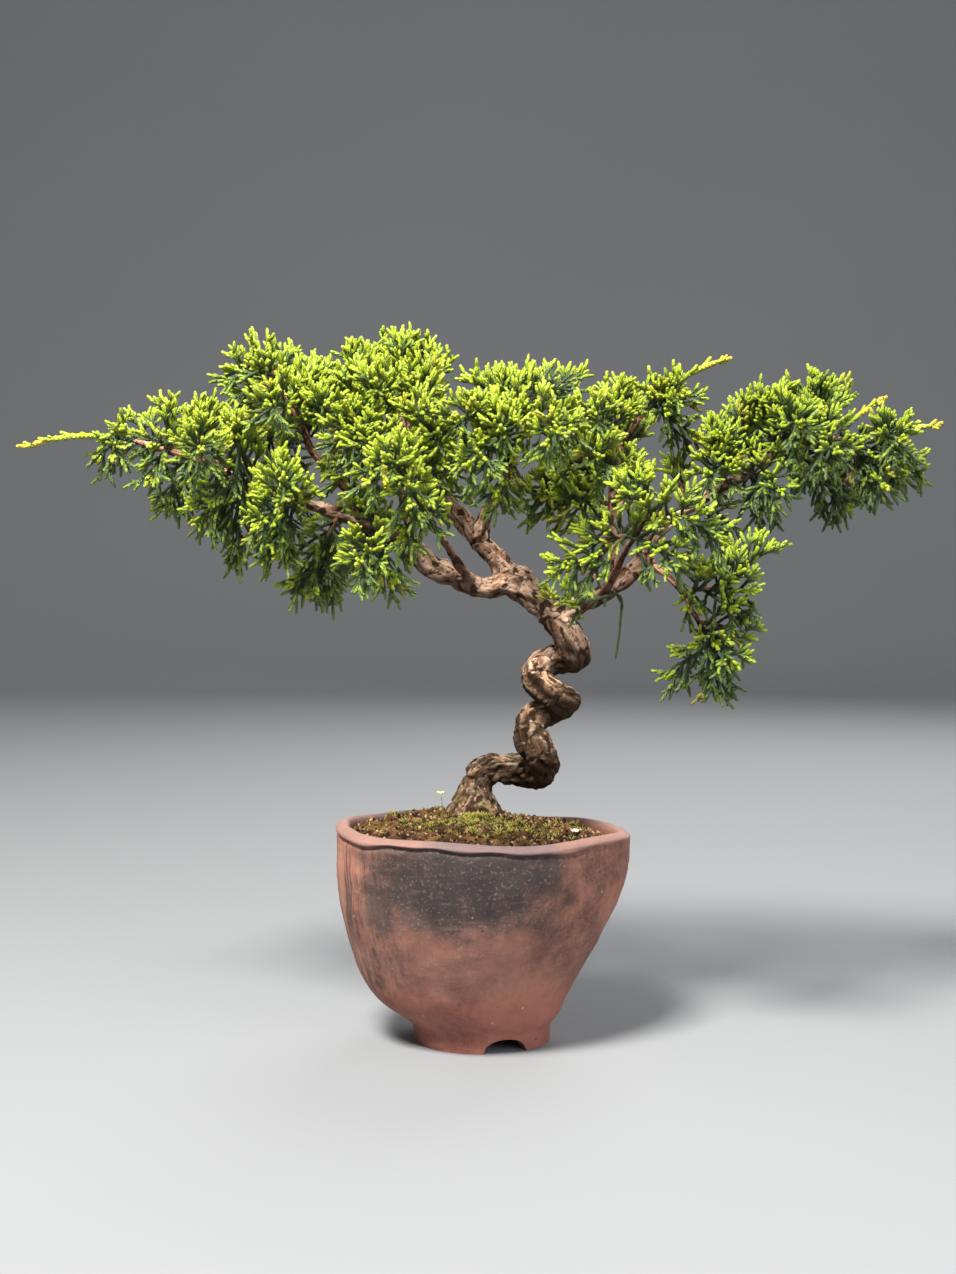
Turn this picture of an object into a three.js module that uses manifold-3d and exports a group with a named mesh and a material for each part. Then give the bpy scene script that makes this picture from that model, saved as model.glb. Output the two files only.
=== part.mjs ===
// A small juniper bonsai in its hand-formed clay pot.
// Millimetres, +Z up. The origin is in the middle of the pot's foot, on the surface that it
// stands on. The front is -Y.

import * as THREE from 'three';
import { mergeVertices } from 'three/addons/utils/BufferGeometryUtils.js';
import Module from 'manifold-3d';

// Driving dimensions of the pot
const POT_HEIGHT = 67.6;
const POT_WALL = 4.5;
const POT_SIDES = 28;
const WALL_STEPS = 5;
const LIP_DEPTH = 2;
const FLOOR_TOP = 13;
const FLOOR_RADIUS = 19;
const FLOOR_ROUND = 4;
const FOOT_RADIUS = 21.5;
const FOOT_WIDTH = 5.5;
const FOOT_HEIGHT = 5.6;
const FOOT_ARCHES = 3;
const ARCH_WIDTH = 14;
const ARCH_RISE = 4.4;
const ARCH_DEPTH = 16.5;
const FIRST_ARCH = -1.22;
const DRAIN_RADIUS = 5;
const BELLY_SAG = 3.8;
const BELLY_HEIGHT = 20;
const BELLY_BELOW = 13;
const BELLY_ABOVE = 24;
const BELLY_FADE_IN = 12;
const RIM_FADE_IN = 4;

// The pot's outside from the foot up, as radius and height
const POT_OUTSIDE = [[22.2, 5.6], [29.4, 13], [34.3, 21], [38.7, 30], [42.7, 41], [45.2, 54], [46, 65.5]];

// The lip from outside to inside, as how far in from the wall and how far below the top
const LIP = [[0.4, 1.2], [2, 0.2], [3.3, 0], [4.1, 0.9]];

// Out-of-round of the wall and lift of the rim: share or millimetres, waves a turn, phase
const WALL_WAVES = [[0.012, 2, 0.3], [0.006, 3, -0.4], [0.008, 5, 1.1]];
const RIM_WAVES = [[-1.15, 1, 0], [0.9, 1, 1.57], [0.55, 2, 0.6], [0.5, 5, 2.97]];

// Driving dimensions of what fills the pot
const GAP = 0.35;
const MESH_SIDE = 22;
const MESH_THICK = 0.9;
const MESH_BARS = 3;
const MESH_BAR = 1.6;
const SOIL_EDGE = 64;
const SOIL_CROWN = 71;
const SOIL_RINGS = 5;
const SOIL_INSET = 5;
const SOIL_RECESS = 16.5;
const RECESS_EDGE = 17.1;
const SOIL_FLOOR = 18.2;
const RING_CROWDING = 0.85;
const MOUND_POWER = 2.2;
const CALM_EDGE = [6, 0.25];
const PEBBLE_PLACE = [29, -12];
const PEBBLE_SIZE = [1.5, 1.2, 0.9];
const PEBBLE_TURN = 0.5;
const PEBBLE_RISE = 0.3;

// Crumbs of soil as a relief of waves that don't line up: height, phase a millimetre in X and in Y
const CRUMB_WAVES = [[0.3, 0.83, 0.52], [0.27, -0.46, 0.77], [0.2, 1.9, -1.3], [0.16, 0.7, 2.1]];

// Driving dimensions of the wood
const STUMP_FOOT = 59.8;
const STUMP_HOLE = 11.4;
const ROOT_RADIUS = 9.8;
const ROOT_LOBES = 5;
const ROOT_LOBE_DEPTH = 0.09;
const ROOT_TOP = 82;
const ROOT_FLARE = 69;
const TRUNK_SIDES = 9;
const TRUNK_STEP = 4.6;
const BRANCH_SIDES = 6;
const BRANCH_STEP = 12;

// Ribs of old bark along the trunk: height, ribs a turn, twist along one solid
const RIBS = [[0.22, 3, 9], [0.18, 5, -14]];

// Driving dimensions of the green shoots
const CORD_RADIUS = 0.85;
const WIDEST_AT = 0.7;
const STEM_BASE = 1.05;
const STEM_END = 0.7;
const JOINT_SPACING = 12.5;
const JOINT_LENGTH = 1.7;
const JOINT_PLACE = 0.6;
const HEEL_LENGTH = 2;
const SHOOT_LENGTH = 9.5;
const SHOOT_SHRINK = 0.42;
const SHOOT_VARIATION = [0.85, 0.3];
const SHOOT_SPREAD = 0.85;
const SHOOT_LEAN = 0.8;
const SHOOT_RISE = 0.5;
const FINGER_LENGTH = 5;
const FINGER_SPREAD = 0.575;
const TUFT_DOME = 0.3;
const CLEARANCE = 0.3;
const STEM_ARCH = 0.13;
const FORK_LIFT = 0.28;
const FREE_OF_SELF = 0.42;
const FACE_ANGLE = 0.35;
const NEIGHBOUR_REACH = 2.4;
const NEIGHBOUR_ANGLE = 0.68;
const STEM_STRETCHES = 5;
const STEM_TRIES = 60;
const STEM_STRAY = 0.5;
const STEM_END_STRAY = 0.15;
const CORD_TRIES = 6;
const CORD_STRAY = [0.3, 0.22];
const CORD_SHORTENING = 0.05;
const THIRD = (2 * Math.PI) / 3;

// The trunk in its corkscrew, from below the soil up to the fork, with a radius at each point.
// Each turn is a solid of its own, joined to the next, because the turns touch.
const TRUNK_TURNS = [
  {
    route: [[-2.5, 0, STUMP_FOOT], [-2.5, 0, 72], [-2.2, 1, 79], [0.6, 2, 84.5], [7.4, 4, 85.1],
      [15.3, 4, 84.8], [19.9, -1, 86.4], [17.9, -5.5, 91.8], [14.8, -3, 97.5]],
    radii: [5.3, 5.1, 4.5, 4.8, 5.1],
  },
  {
    route: [[17.9, -5.5, 91.8], [14.8, -3, 97.5], [17.2, 3, 102.1], [22.4, 6, 104], [25.7, 1, 107],
      [22, -5, 110], [17, -3, 114.2]],
    radii: [5.1, 4.9, 5.2, 5.0],
  },
  {
    route: [[22, -5, 110], [17, -3, 114.2], [19.4, 3, 118.9], [24.9, 6, 120.7], [29.5, 1, 121.9],
      [27, -4, 128.5], [22, -3, 135.3], [16.7, -1, 140.3], [11.7, 0, 144.7], [8.5, 0, 146.2]],
    radii: [5.0, 4.9, 5.3, 4.9, 4.6],
  },
];

// The branches as they grow: route and a few radii spaced evenly along it
const BRANCHES = {
  left: {
    route: [[12, 0, 144], [7, -1, 145], [2, -2, 143], [-3, -3, 144], [-9, -4, 147], [-16, -5, 150],
      [-21, -5, 155], [-26, -4, 159], [-34, -4, 163], [-43, -6, 166], [-53, -9, 169], [-65, -12, 172],
      [-77, -13, 178], [-88, -12, 183], [-98, -10, 186], [-108, -8, 189]],
    radii: [3.8, 3.7, 3.5, 2.4, 1.8, 1.4, 1.0],
  },
  mid: {
    route: [[13, 0, 144], [7, 1, 149], [4, 2, 153], [0, 2, 157], [-3, 2, 161], [-6, 2, 166],
      [-10, 3, 170], [-13, 5, 174], [-18, 8, 181], [-23, 10, 189], [-26, 12, 198]],
    radii: [4.0, 3.5, 2.6, 2.0, 1.4, 1.0],
  },
  mid_fork: {
    route: [[-1, 2, 158], [1, -1, 166], [4, -4, 171], [7, -8, 177], [9, -12, 184], [13, -14, 192],
      [18, -14, 200]],
    radii: [2.6, 2.2, 1.7, 1.3, 1.0],
  },
  right: {
    route: [[22, -3, 135], [27, -5, 136], [32, -7, 139], [37, -8, 141], [43, -8, 145], [49, -6, 151],
      [54, -3, 159], [60, 0, 165], [66, 2, 169], [74, 3, 174], [82, 3, 178], [90, 3, 184],
      [99, 2, 188], [109, 0, 190], [120, -2, 188]],
    radii: [3.2, 3.0, 2.5, 2.0, 1.7, 1.4, 1.0],
  },
  riser: {
    route: [[41, -8, 144], [41, -6, 150], [41, -3, 160], [41, 0, 169], [42, 3, 179], [44, 5, 187],
      [49, 6, 195], [55, 6, 203]],
    radii: [1.8, 1.6, 1.3, 0.9],
  },
  drop: {
    route: [[51, -5, 154], [53, -14, 150], [57, -20, 147], [61, -24, 142], [64, -26, 136],
      [68, -27, 129]],
    radii: [1.5, 1.2, 0.9],
  },
  back_left: {
    route: [[4, 2, 153], [-1, 12, 157], [-7, 24, 163], [-12, 36, 170], [-19, 45, 179], [-24, 50, 188]],
    radii: [2.4, 1.8, 1.3, 0.9],
  },
  back_right: {
    route: [[25, -3, 131], [28, 8, 138], [34, 20, 144], [39, 32, 152], [44, 42, 162], [48, 48, 172]],
    radii: [2.6, 1.9, 1.4, 0.9],
  },
  front: {
    route: [[-3, -3, 144], [-8, -18, 152], [-13, -30, 160], [-17, -38, 167], [-21, -42, 173]],
    radii: [1.8, 1.3, 0.9],
  },
  top_left: {
    route: [[-34, -4, 163], [-41, -6, 172], [-47, -8, 179], [-53, -9, 186], [-56, -10, 194],
      [-60, -10, 201], [-63, -9, 206]],
    radii: [1.6, 1.3, 0.9],
  },
  upright: {
    route: [[-22, -5, 156], [-23, -2, 163], [-25, 2, 172], [-28, 6, 181], [-31, 8, 189]],
    radii: [2.0, 1.5, 1.0],
  },
  front_right: {
    route: [[37, -8, 141], [40, -20, 147], [43, -30, 155], [47, -36, 162], [49, -38, 168]],
    radii: [1.6, 1.2, 0.9],
  },
};

// The green sprays: the branch, how far along its route, and the tips that the spray reaches.
// The first tip ends the spray's own stem, and the others end the side stems that fork from it.
const SPRAYS = [
  ['left', 1.0, [[-145, -8, 189], [-122, -4, 181], [-114, -18, 198]]],
  ['left', 0.92, [[-97, -16, 203], [-116, 12, 195], [-104, -20, 169]]],
  ['left', 0.87, [[-86, -4, 202], [-82, -44, 184], [-99, -4, 165]]],
  ['left', 0.82, [[-100, 30, 191], [-88, 32, 200], [-85, 34, 172]]],
  ['left', 0.77, [[-74, -30, 196], [-88, -26, 161], [-75, -12, 147]]],
  ['left', 0.71, [[-73, 14, 195], [-60, 30, 191], [-70, 32, 162]]],
  ['left', 0.67, [[-68, -44, 161], [-62, -34, 150], [-57, -52, 177]]],
  ['left', 0.61, [[-54, -24, 139], [-48, -10, 136], [-50, 26, 152]]],
  ['left', 0.53, [[-26, -24, 140], [-37, -44, 151], [-37, 32, 159]]],
  ['top_left', 1.0, [[-71, -12, 224], [-83, -16, 212]]],
  ['top_left', 0.83, [[-80, 2, 206], [-63, 8, 221]]],
  ['top_left', 0.72, [[-54, -6, 217], [-50, 12, 218], [-64, -40, 198]]],
  ['top_left', 0.5, [[-64, 42, 212], [-45, -36, 199], [-77, 36, 205]]],
  ['upright', 1.0, [[-43, 6, 222], [-38, 24, 220], [-32, -30, 206]]],
  ['upright', 0.75, [[-42, -30, 198], [-43, -42, 187], [-33, -48, 183]]],
  ['mid', 1.0, [[-26, 16, 227], [-32, 34, 223]]],
  ['mid', 0.93, [[-17, 20, 225], [-11, 2, 217], [-17, -24, 205]]],
  ['mid', 0.85, [[-18, 60, 207], [-28, 54, 200]]],
  ['mid', 0.78, [[-13, -34, 191], [-23, -38, 199]]],
  ['mid', 0.7, [[-4, 44, 189], [-14, 52, 180], [-24, -46, 179]]],
  ['front', 1.0, [[-28, -68, 182], [-34, -73, 172], [-20, -66, 166]]],
  ['front', 0.75, [[-16, -58, 164], [-25, -55, 156]]],
  ['mid_fork', 0.57, [[-4, -34, 201], [-9, -44, 193]]],
  ['mid_fork', 0.67, [[5, -50, 191], [-6, -50, 178], [4, -34, 168]]],
  ['mid_fork', 0.77, [[27, -52, 190], [17, -58, 184]]],
  ['mid_fork', 0.83, [[-2, -6, 215], [7, 6, 215]]],
  ['mid_fork', 1.0, [[19, -12, 214], [29, 8, 214]]],
  ['mid_fork', 0.92, [[13, 36, 205], [26, 40, 205]]],
  ['riser', 0.86, [[37, -8, 210], [46, 16, 211]]],
  ['riser', 0.77, [[32, -34, 197], [23, -28, 196]]],
  ['riser', 1.0, [[79, 4, 217], [58, -8, 208]]],
  ['riser', 0.94, [[69, -16, 205], [68, -4, 189]]],
  ['riser', 0.57, [[19, -28, 178], [15, -16, 170], [35, -38, 183]]],
  ['riser', 0.43, [[8, -22, 164], [27, -28, 160]]],
  ['riser', 0.66, [[53, 44, 199], [40, 46, 192]]],
  ['riser', 0.5, [[52, -26, 178]]],
  ['right', 1.0, [[144, -6, 195], [144, -10, 180], [126, -32, 188]]],
  ['right', 0.94, [[127, 2, 206], [123, -24, 172], [121, 12, 171]]],
  ['right', 0.87, [[107, -10, 211], [119, 16, 208], [104, -46, 183]]],
  ['right', 0.83, [[93, -42, 193], [116, -8, 164]]],
  ['right', 0.79, [[96, -2, 209], [84, -22, 205], [108, 46, 196]]],
  ['right', 0.72, [[90, -34, 172], [91, -10, 164]]],
  ['right', 0.67, [[71, -22, 194], [94, 42, 199], [81, -8, 208]]],
  ['right', 0.56, [[59, 2, 185], [81, 20, 165]]],
  ['right', 0.11, [[28, -18, 132], [20, -24, 140], [41, -8, 122]]],
  ['front_right', 1.0, [[39, -54, 173], [49, -46, 180]]],
  ['front_right', 0.85, [[62, -60, 164], [72, -56, 156]]],
  ['front_right', 0.65, [[26, -40, 158], [18, -44, 149], [59, -56, 152]]],
  ['drop', 1.0, [[71, -28, 108], [57, -18, 112]]],
  ['drop', 0.88, [[83, -30, 128], [78, -40, 117]]],
  ['drop', 0.6, [[86, -34, 143], [85, -30, 157]]],
  ['back_left', 1.0, [[-31, 71, 202], [-18, 73, 198]]],
  ['back_left', 0.7, [[-29, 66, 180], [-8, 66, 173]]],
  ['back_right', 1.0, [[50, 73, 188], [39, 70, 191]]],
  ['back_right', 0.7, [[62, 66, 166], [35, 68, 166]]],
];

const MATERIALS = {
  clay: new THREE.MeshStandardMaterial({ color: 0x8c6054, roughness: 0.88, metalness: 0 }),
  plastic: new THREE.MeshStandardMaterial({ color: 0x1d1f1e, roughness: 0.6, metalness: 0 }),
  soil: new THREE.MeshStandardMaterial({ color: 0x3d2a22, roughness: 1, metalness: 0 }),
  stone: new THREE.MeshStandardMaterial({ color: 0xd9d2c6, roughness: 0.8, metalness: 0 }),
  bark: new THREE.MeshStandardMaterial({ color: 0x86695d, roughness: 0.92, metalness: 0 }),
  green: new THREE.MeshStandardMaterial({ color: 0x7fa436, roughness: 0.62, metalness: 0 }),
};

const wasm = await Module();
wasm.setup();

// A seeded random source, so that the same tree grows each time
function seeded(seed) {
  let state = seed;
  return () => {
    state = (state * 1664525 + 1013904223) % 4294967296;
    return state / 4294967296;
  };
}

function vector(point) {
  return new THREE.Vector3(...point);
}

// A closed three.js geometry as a solid that can be joined and cut
function solidOf(geometry) {
  const bare = geometry.clone();
  bare.deleteAttribute('normal');
  bare.deleteAttribute('uv');
  const merged = mergeVertices(bare, 1e-4);
  const corners = merged.index.array;
  const kept = [];
  for (let i = 0; i < corners.length; i += 3) {
    const [a, b, c] = [corners[i], corners[i + 1], corners[i + 2]];
    if (a !== b && b !== c && c !== a) kept.push(a, b, c);
  }
  return new wasm.Manifold(new wasm.Mesh({
    numProp: 3,
    vertProperties: new Float32Array(merged.attributes.position.array),
    triVerts: new Uint32Array(kept),
  }));
}

function geometryOf(solid) {
  const mesh = solid.getMesh();
  const geometry = new THREE.BufferGeometry();
  geometry.setAttribute('position', new THREE.BufferAttribute(mesh.vertProperties, 3));
  geometry.setIndex(new THREE.BufferAttribute(mesh.triVerts, 1));
  geometry.computeVertexNormals();
  return geometry;
}

function joined(solids) {
  return solids.reduce((whole, solid) => whole.add(solid));
}

// The largest of a solid's separate bodies
function mainBody(solid) {
  const bodies = solid.decompose();
  return bodies.reduce((best, body) => (body.volume() > best.volume() ? body : best));
}

function namedMesh(name, solid, material) {
  const mesh = new THREE.Mesh(geometryOf(solid), material);
  mesh.name = name;
  return mesh;
}

function waveSum(waves, turn) {
  return waves.reduce((sum, [size, count, phase]) => sum + size * Math.cos(count * turn + phase), 0);
}

// The pinching of the clay: out of round, sagging to one side below the middle, uneven at the rim
function handFormed(point) {
  const turn = Math.atan2(point.y, point.x);
  const share = THREE.MathUtils.smoothstep(point.z, FOOT_HEIGHT, POT_HEIGHT);
  const wide = 1 + share * waveSum(WALL_WAVES, turn);
  const offset = (point.z - BELLY_HEIGHT) / (point.z < BELLY_HEIGHT ? BELLY_BELOW : BELLY_ABOVE);
  const sag = BELLY_SAG * Math.exp(-offset * offset) * Math.min(1, share * BELLY_FADE_IN);
  const lift = share ** RIM_FADE_IN * waveSum(RIM_WAVES, turn);
  return point.set(point.x * wide - sag, point.y * wide, point.z + lift);
}

function reshaped(geometry, change) {
  const places = geometry.attributes.position;
  const point = new THREE.Vector3();
  for (let i = 0; i < places.count; i += 1) {
    point.fromBufferAttribute(places, i);
    change(point);
    places.setXYZ(i, point.x, point.y, point.z);
  }
  return geometry;
}

// A turned solid about +Z from a closed profile of radius and height
function turned(profile, sides) {
  const points = profile.map(([radius, height]) => new THREE.Vector2(radius, height));
  return new THREE.LatheGeometry(points, sides).rotateX(Math.PI / 2);
}

function outsideCurve() {
  return new THREE.SplineCurve(POT_OUTSIDE.map((pair) => new THREE.Vector2(...pair)));
}

// Points down the inside of the pot, set in from the outside by an inset
function insideWall(inset, top) {
  const outside = outsideCurve();
  const points = [];
  for (let step = WALL_STEPS; step >= 0; step -= 1) {
    const place = outside.getPoint(step / WALL_STEPS);
    const along = outside.getTangent(step / WALL_STEPS);
    const inner = [place.x - along.y * inset, place.y + along.x * inset];
    if (inner[1] < top && inner[1] > FLOOR_TOP + FLOOR_ROUND) points.push(inner);
  }
  return points;
}

function buildPot() {
  const wall = outsideCurve().getPoints(WALL_STEPS).map((point) => [point.x, point.y]);
  const rimRadius = wall[WALL_STEPS][0];
  const profile = [
    [FOOT_RADIUS, 0],
    ...wall,
    ...LIP.map(([inward, down]) => [rimRadius - inward, POT_HEIGHT - down]),
    ...insideWall(POT_WALL, POT_HEIGHT - LIP_DEPTH),
    [FLOOR_RADIUS, FLOOR_TOP],
    [DRAIN_RADIUS, FLOOR_TOP],
    [DRAIN_RADIUS, FOOT_HEIGHT],
    [FOOT_RADIUS - FOOT_WIDTH, FOOT_HEIGHT],
    [FOOT_RADIUS - FOOT_WIDTH, 0],
    [FOOT_RADIUS, 0],
  ];
  const body = solidOf(reshaped(turned(profile, POT_SIDES), handFormed));
  return footArches().reduce((pot, arch) => pot.subtract(arch), body);
}

// Round-topped arches that cut the foot ring into three feet
function footArches() {
  const outline = new THREE.Shape();
  outline.absellipse(0, 0, ARCH_WIDTH / 2, ARCH_RISE, 0, Math.PI);
  outline.lineTo(-ARCH_WIDTH / 2, -ARCH_RISE);
  outline.lineTo(ARCH_WIDTH / 2, -ARCH_RISE);
  const settings = { depth: ARCH_DEPTH, bevelEnabled: false, curveSegments: 8 };
  const arches = [];
  for (let i = 0; i < FOOT_ARCHES; i += 1) {
    const arch = new THREE.ExtrudeGeometry(outline, settings);
    arch.rotateX(Math.PI / 2);
    arch.rotateZ(Math.PI / 2);
    arch.translate(FOOT_RADIUS - FOOT_WIDTH - ARCH_DEPTH / 3, 0, 0);
    arch.rotateZ(FIRST_ARCH + (i * 2 * Math.PI) / FOOT_ARCHES);
    arches.push(solidOf(arch));
  }
  return arches;
}

// The square of plastic mesh that keeps the soil out of the drain hole
function buildDrainMesh() {
  const bars = [];
  for (let i = 0; i <= MESH_BARS; i += 1) {
    const place = (i / MESH_BARS - 0.5) * (MESH_SIDE - MESH_BAR);
    const height = FLOOR_TOP + GAP + MESH_THICK / 2;
    const lengthwise = new THREE.BoxGeometry(MESH_SIDE, MESH_BAR, MESH_THICK);
    const crosswise = new THREE.BoxGeometry(MESH_BAR, MESH_SIDE, MESH_THICK);
    bars.push(solidOf(lengthwise.translate(-BELLY_SAG / 2, place, height)));
    bars.push(solidOf(crosswise.translate(place - BELLY_SAG / 2, 0, height)));
  }
  return joined(bars);
}

function soilHeight(x, y, edgeRadius) {
  const share = Math.min(1, Math.hypot(x, y) / edgeRadius);
  const mound = SOIL_EDGE + (SOIL_CROWN - SOIL_EDGE) * (1 - share ** MOUND_POWER);
  const calm = Math.min(1, (1 - share) * CALM_EDGE[0] + CALM_EDGE[1]);
  const crumbs = CRUMB_WAVES.reduce((sum, [height, a, b]) => sum + height * Math.sin(a * x + b * y), 0);
  return mound + calm * crumbs;
}

// Soil fills the pot down to the mesh, in a mound with a plain hole for the foot of the trunk
function buildSoil(pebble) {
  const side = insideWall(SOIL_INSET, SOIL_EDGE).reverse();
  const edgeRadius = side[side.length - 1][0];
  const profile = [
    [0, FLOOR_TOP + MESH_THICK + 2 * GAP],
    [SOIL_RECESS, FLOOR_TOP + MESH_THICK + 2 * GAP],
    [RECESS_EDGE, FLOOR_TOP + GAP],
    [SOIL_FLOOR, FLOOR_TOP + GAP],
    ...side,
    [edgeRadius, SOIL_EDGE],
  ];
  for (let ring = SOIL_RINGS - 1; ring >= 0; ring -= 1) {
    profile.push([edgeRadius * (ring / SOIL_RINGS) ** RING_CROWDING, POT_HEIGHT]);
  }
  const filling = reshaped(turned(profile, POT_SIDES), (point) => {
    if (point.z === POT_HEIGHT) point.z = soilHeight(point.x, point.y, edgeRadius);
    return handFormed(point);
  });
  const [x, y, bottom] = TRUNK_TURNS[0].route[0];
  const hole = turned([
    [0, bottom - GAP], [STUMP_HOLE, bottom - GAP], [STUMP_HOLE, POT_HEIGHT * 2], [0, POT_HEIGHT * 2],
  ], TRUNK_SIDES * 2);
  hole.translate(x, y, 0);
  return solidOf(filling).subtract(solidOf(hole)).subtract(pebble);
}

// A rounded pebble half sunk in the soil, grown on all sides by a margin
function pebbleSolid(margin) {
  const [x, y] = PEBBLE_PLACE;
  const stone = new THREE.SphereGeometry(1, 9, 6);
  stone.scale(PEBBLE_SIZE[0] + margin, PEBBLE_SIZE[1] + margin, PEBBLE_SIZE[2] + margin);
  stone.rotateZ(PEBBLE_TURN);
  stone.translate(x, y, soilHeight(x, y, POT_OUTSIDE.at(-1)[0] - POT_WALL) + PEBBLE_RISE);
  return solidOf(stone);
}

// A radius at a share of the length, from a few radii spaced evenly
function radiusAlong(radii, share) {
  const place = Math.min(share, 0.9999) * (radii.length - 1);
  const index = Math.floor(place);
  return THREE.MathUtils.lerp(radii[index], radii[index + 1], place - index);
}

// A closed cylinder bent along a curve, with its radius set by the place and the turn
function bentCylinder(curve, sides, rings, radiusAt) {
  const cylinder = new THREE.CylinderGeometry(1, 1, 1, sides, rings);
  const frames = curve.computeFrenetFrames(rings, false);
  return reshaped(cylinder, (point) => {
    const ring = Math.round((point.y + 0.5) * rings);
    const turn = Math.atan2(point.x, point.z);
    const reach = Math.hypot(point.x, point.z) * radiusAt(ring / rings, turn);
    const centre = curve.getPointAt(ring / rings);
    centre.addScaledVector(frames.normals[ring], reach * Math.cos(turn));
    centre.addScaledVector(frames.binormals[ring], reach * Math.sin(turn));
    point.copy(centre);
  });
}

function curveThrough(route) {
  return new THREE.CatmullRomCurve3(route.map(vector), false, 'centripetal');
}

function rootFlare(height, turn) {
  const share = 1 - THREE.MathUtils.smoothstep(height, ROOT_FLARE, ROOT_TOP);
  return share * (1 + ROOT_LOBE_DEPTH * Math.cos(ROOT_LOBES * turn));
}

// One turn of the trunk, with shallow ribs of old bark and the flare of the roots
function trunkTurn({ route, radii }, extra) {
  const curve = curveThrough(route);
  const rings = Math.ceil(curve.getLength() / TRUNK_STEP);
  return solidOf(bentCylinder(curve, TRUNK_SIDES, rings, (share, turn) => {
    const plain = radiusAlong(radii, share);
    const ribs = RIBS.reduce((sum, [height, count, twist]) => (
      sum + height * Math.sin(count * turn + twist * share)), 0);
    const flare = (ROOT_RADIUS - plain) * rootFlare(curve.getPointAt(share).z, turn);
    return plain + ribs + flare + extra;
  }));
}

function branchSolid({ route, radii }, extra) {
  const curve = curveThrough(route);
  const rings = Math.ceil(curve.getLength() / BRANCH_STEP);
  return solidOf(bentCylinder(curve, BRANCH_SIDES, rings, (share) => radiusAlong(radii, share) + extra));
}

// The trunk and its branches grew as one piece
function buildWood(extra) {
  const turns = TRUNK_TURNS.map((turn) => trunkTurn(turn, extra));
  const branches = Object.values(BRANCHES).map((branch) => branchSolid(branch, extra));
  return joined([...turns, ...branches]);
}

// Shortest distance between two straight stretches, each given by its two ends
function distanceBetween(a, b, c, d) {
  const along = b.clone().sub(a);
  const across = d.clone().sub(c);
  const between = a.clone().sub(c);
  const [aa, cc, ac] = [along.lengthSq(), across.lengthSq(), along.dot(across)];
  const [ab, cb] = [along.dot(between), across.dot(between)];
  const spread = aa * cc - ac * ac;
  let s = spread > 1e-9 ? THREE.MathUtils.clamp((ac * cb - cc * ab) / spread, 0, 1) : 0;
  let t = (ac * s + cb) / cc;
  if (t < 0 || t > 1) {
    t = THREE.MathUtils.clamp(t, 0, 1);
    s = THREE.MathUtils.clamp((ac * t - ab) / aa, 0, 1);
  }
  const near = a.clone().addScaledVector(along, s);
  return near.distanceTo(c.clone().addScaledVector(across, t));
}

// Every stretch that is already placed: its owner, its ends and its radius
const placed = [];

function stretchesOf(curve, count, radiusAt) {
  const points = curve.getSpacedPoints(count);
  return points.slice(1).map((end, i) => ({
    start: points[i],
    end,
    radius: radiusAt((i + 0.5) / count),
  }));
}

function placeWood() {
  for (const { route, radii } of [...TRUNK_TURNS, ...Object.values(BRANCHES)]) {
    const curve = curveThrough(route);
    const stretches = stretchesOf(curve, route.length * 2, (share) => radiusAlong(radii, share));
    for (const stretch of stretches) placed.push({ owner: 'wood', ...stretch });
  }
}

// Whether a stretch keeps clear of all that is placed, apart from the owners that are passed over
function isClear({ start, end, radius }, passedOver) {
  return placed.every((other) => {
    if (passedOver.includes(other.owner)) return true;
    return distanceBetween(start, end, other.start, other.end) > radius + other.radius + CLEARANCE;
  });
}

// Whether something already leaves nearly the same spot in nearly the same direction
function isCrowded(start, way) {
  return placed.some((other) => other.leaves
    && other.start.distanceTo(start) < NEIGHBOUR_REACH
    && other.end.clone().sub(other.start).normalize().dot(way) > NEIGHBOUR_ANGLE);
}

function randomVector(random) {
  return new THREE.Vector3(random() - 0.5, random() - 0.5, random() - 0.5);
}

// A green stem's line: it starts out along its lift and runs on to its tip.
// Where it would cross another stem or the wood, its middle is bent clear. Near its start it
// passes over the owners listed for each of its stretches.
function stemCurve(name, start, tip, lift, passedOver, random) {
  const end = start.clone().lerp(tip, 1 - FINGER_LENGTH / start.distanceTo(tip));
  for (let attempt = 0; attempt < STEM_TRIES; attempt += 1) {
    const middle = start.clone().lerp(end, 0.5);
    middle.addScaledVector(lift, start.distanceTo(end));
    middle.addScaledVector(randomVector(random), attempt * STEM_STRAY);
    const last = end.clone().addScaledVector(randomVector(random), attempt * STEM_END_STRAY);
    const curve = new THREE.QuadraticBezierCurve3(start, middle, last);
    const stretches = stretchesOf(curve, STEM_STRETCHES, () => STEM_BASE);
    if (stretches.every((stretch, i) => isClear(stretch, passedOver[i] ?? []))) {
      stretches.forEach((stretch, i) => placed.push({ owner: name, leaves: i === 0, ...stretch }));
      return curve;
    }
  }
  throw new Error(`no clear way for a stem of ${name}`);
}

// Three points round a centre, across a direction. The first lies towards the reference.
function ringAround(centre, direction, radius, reference) {
  const across = reference.clone().projectOnPlane(direction).setLength(radius);
  return [0, 1, 2].map((k) => centre.clone().add(across.clone().applyAxisAngle(direction, k * THIRD)));
}

// A green body starts as a flat three-cornered end. Its faces run anticlockwise seen from outside.
// The two faces of a flat side are partners, and once one grows on, the other is taken.
function startBody(centre, direction) {
  const points = ringAround(centre, direction, STEM_BASE, new THREE.Vector3(0, 0, 1));
  return { points, faces: [[0, 2, 1], [0, 1, 2]], front: 1, partners: [], taken: new Set() };
}

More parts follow.
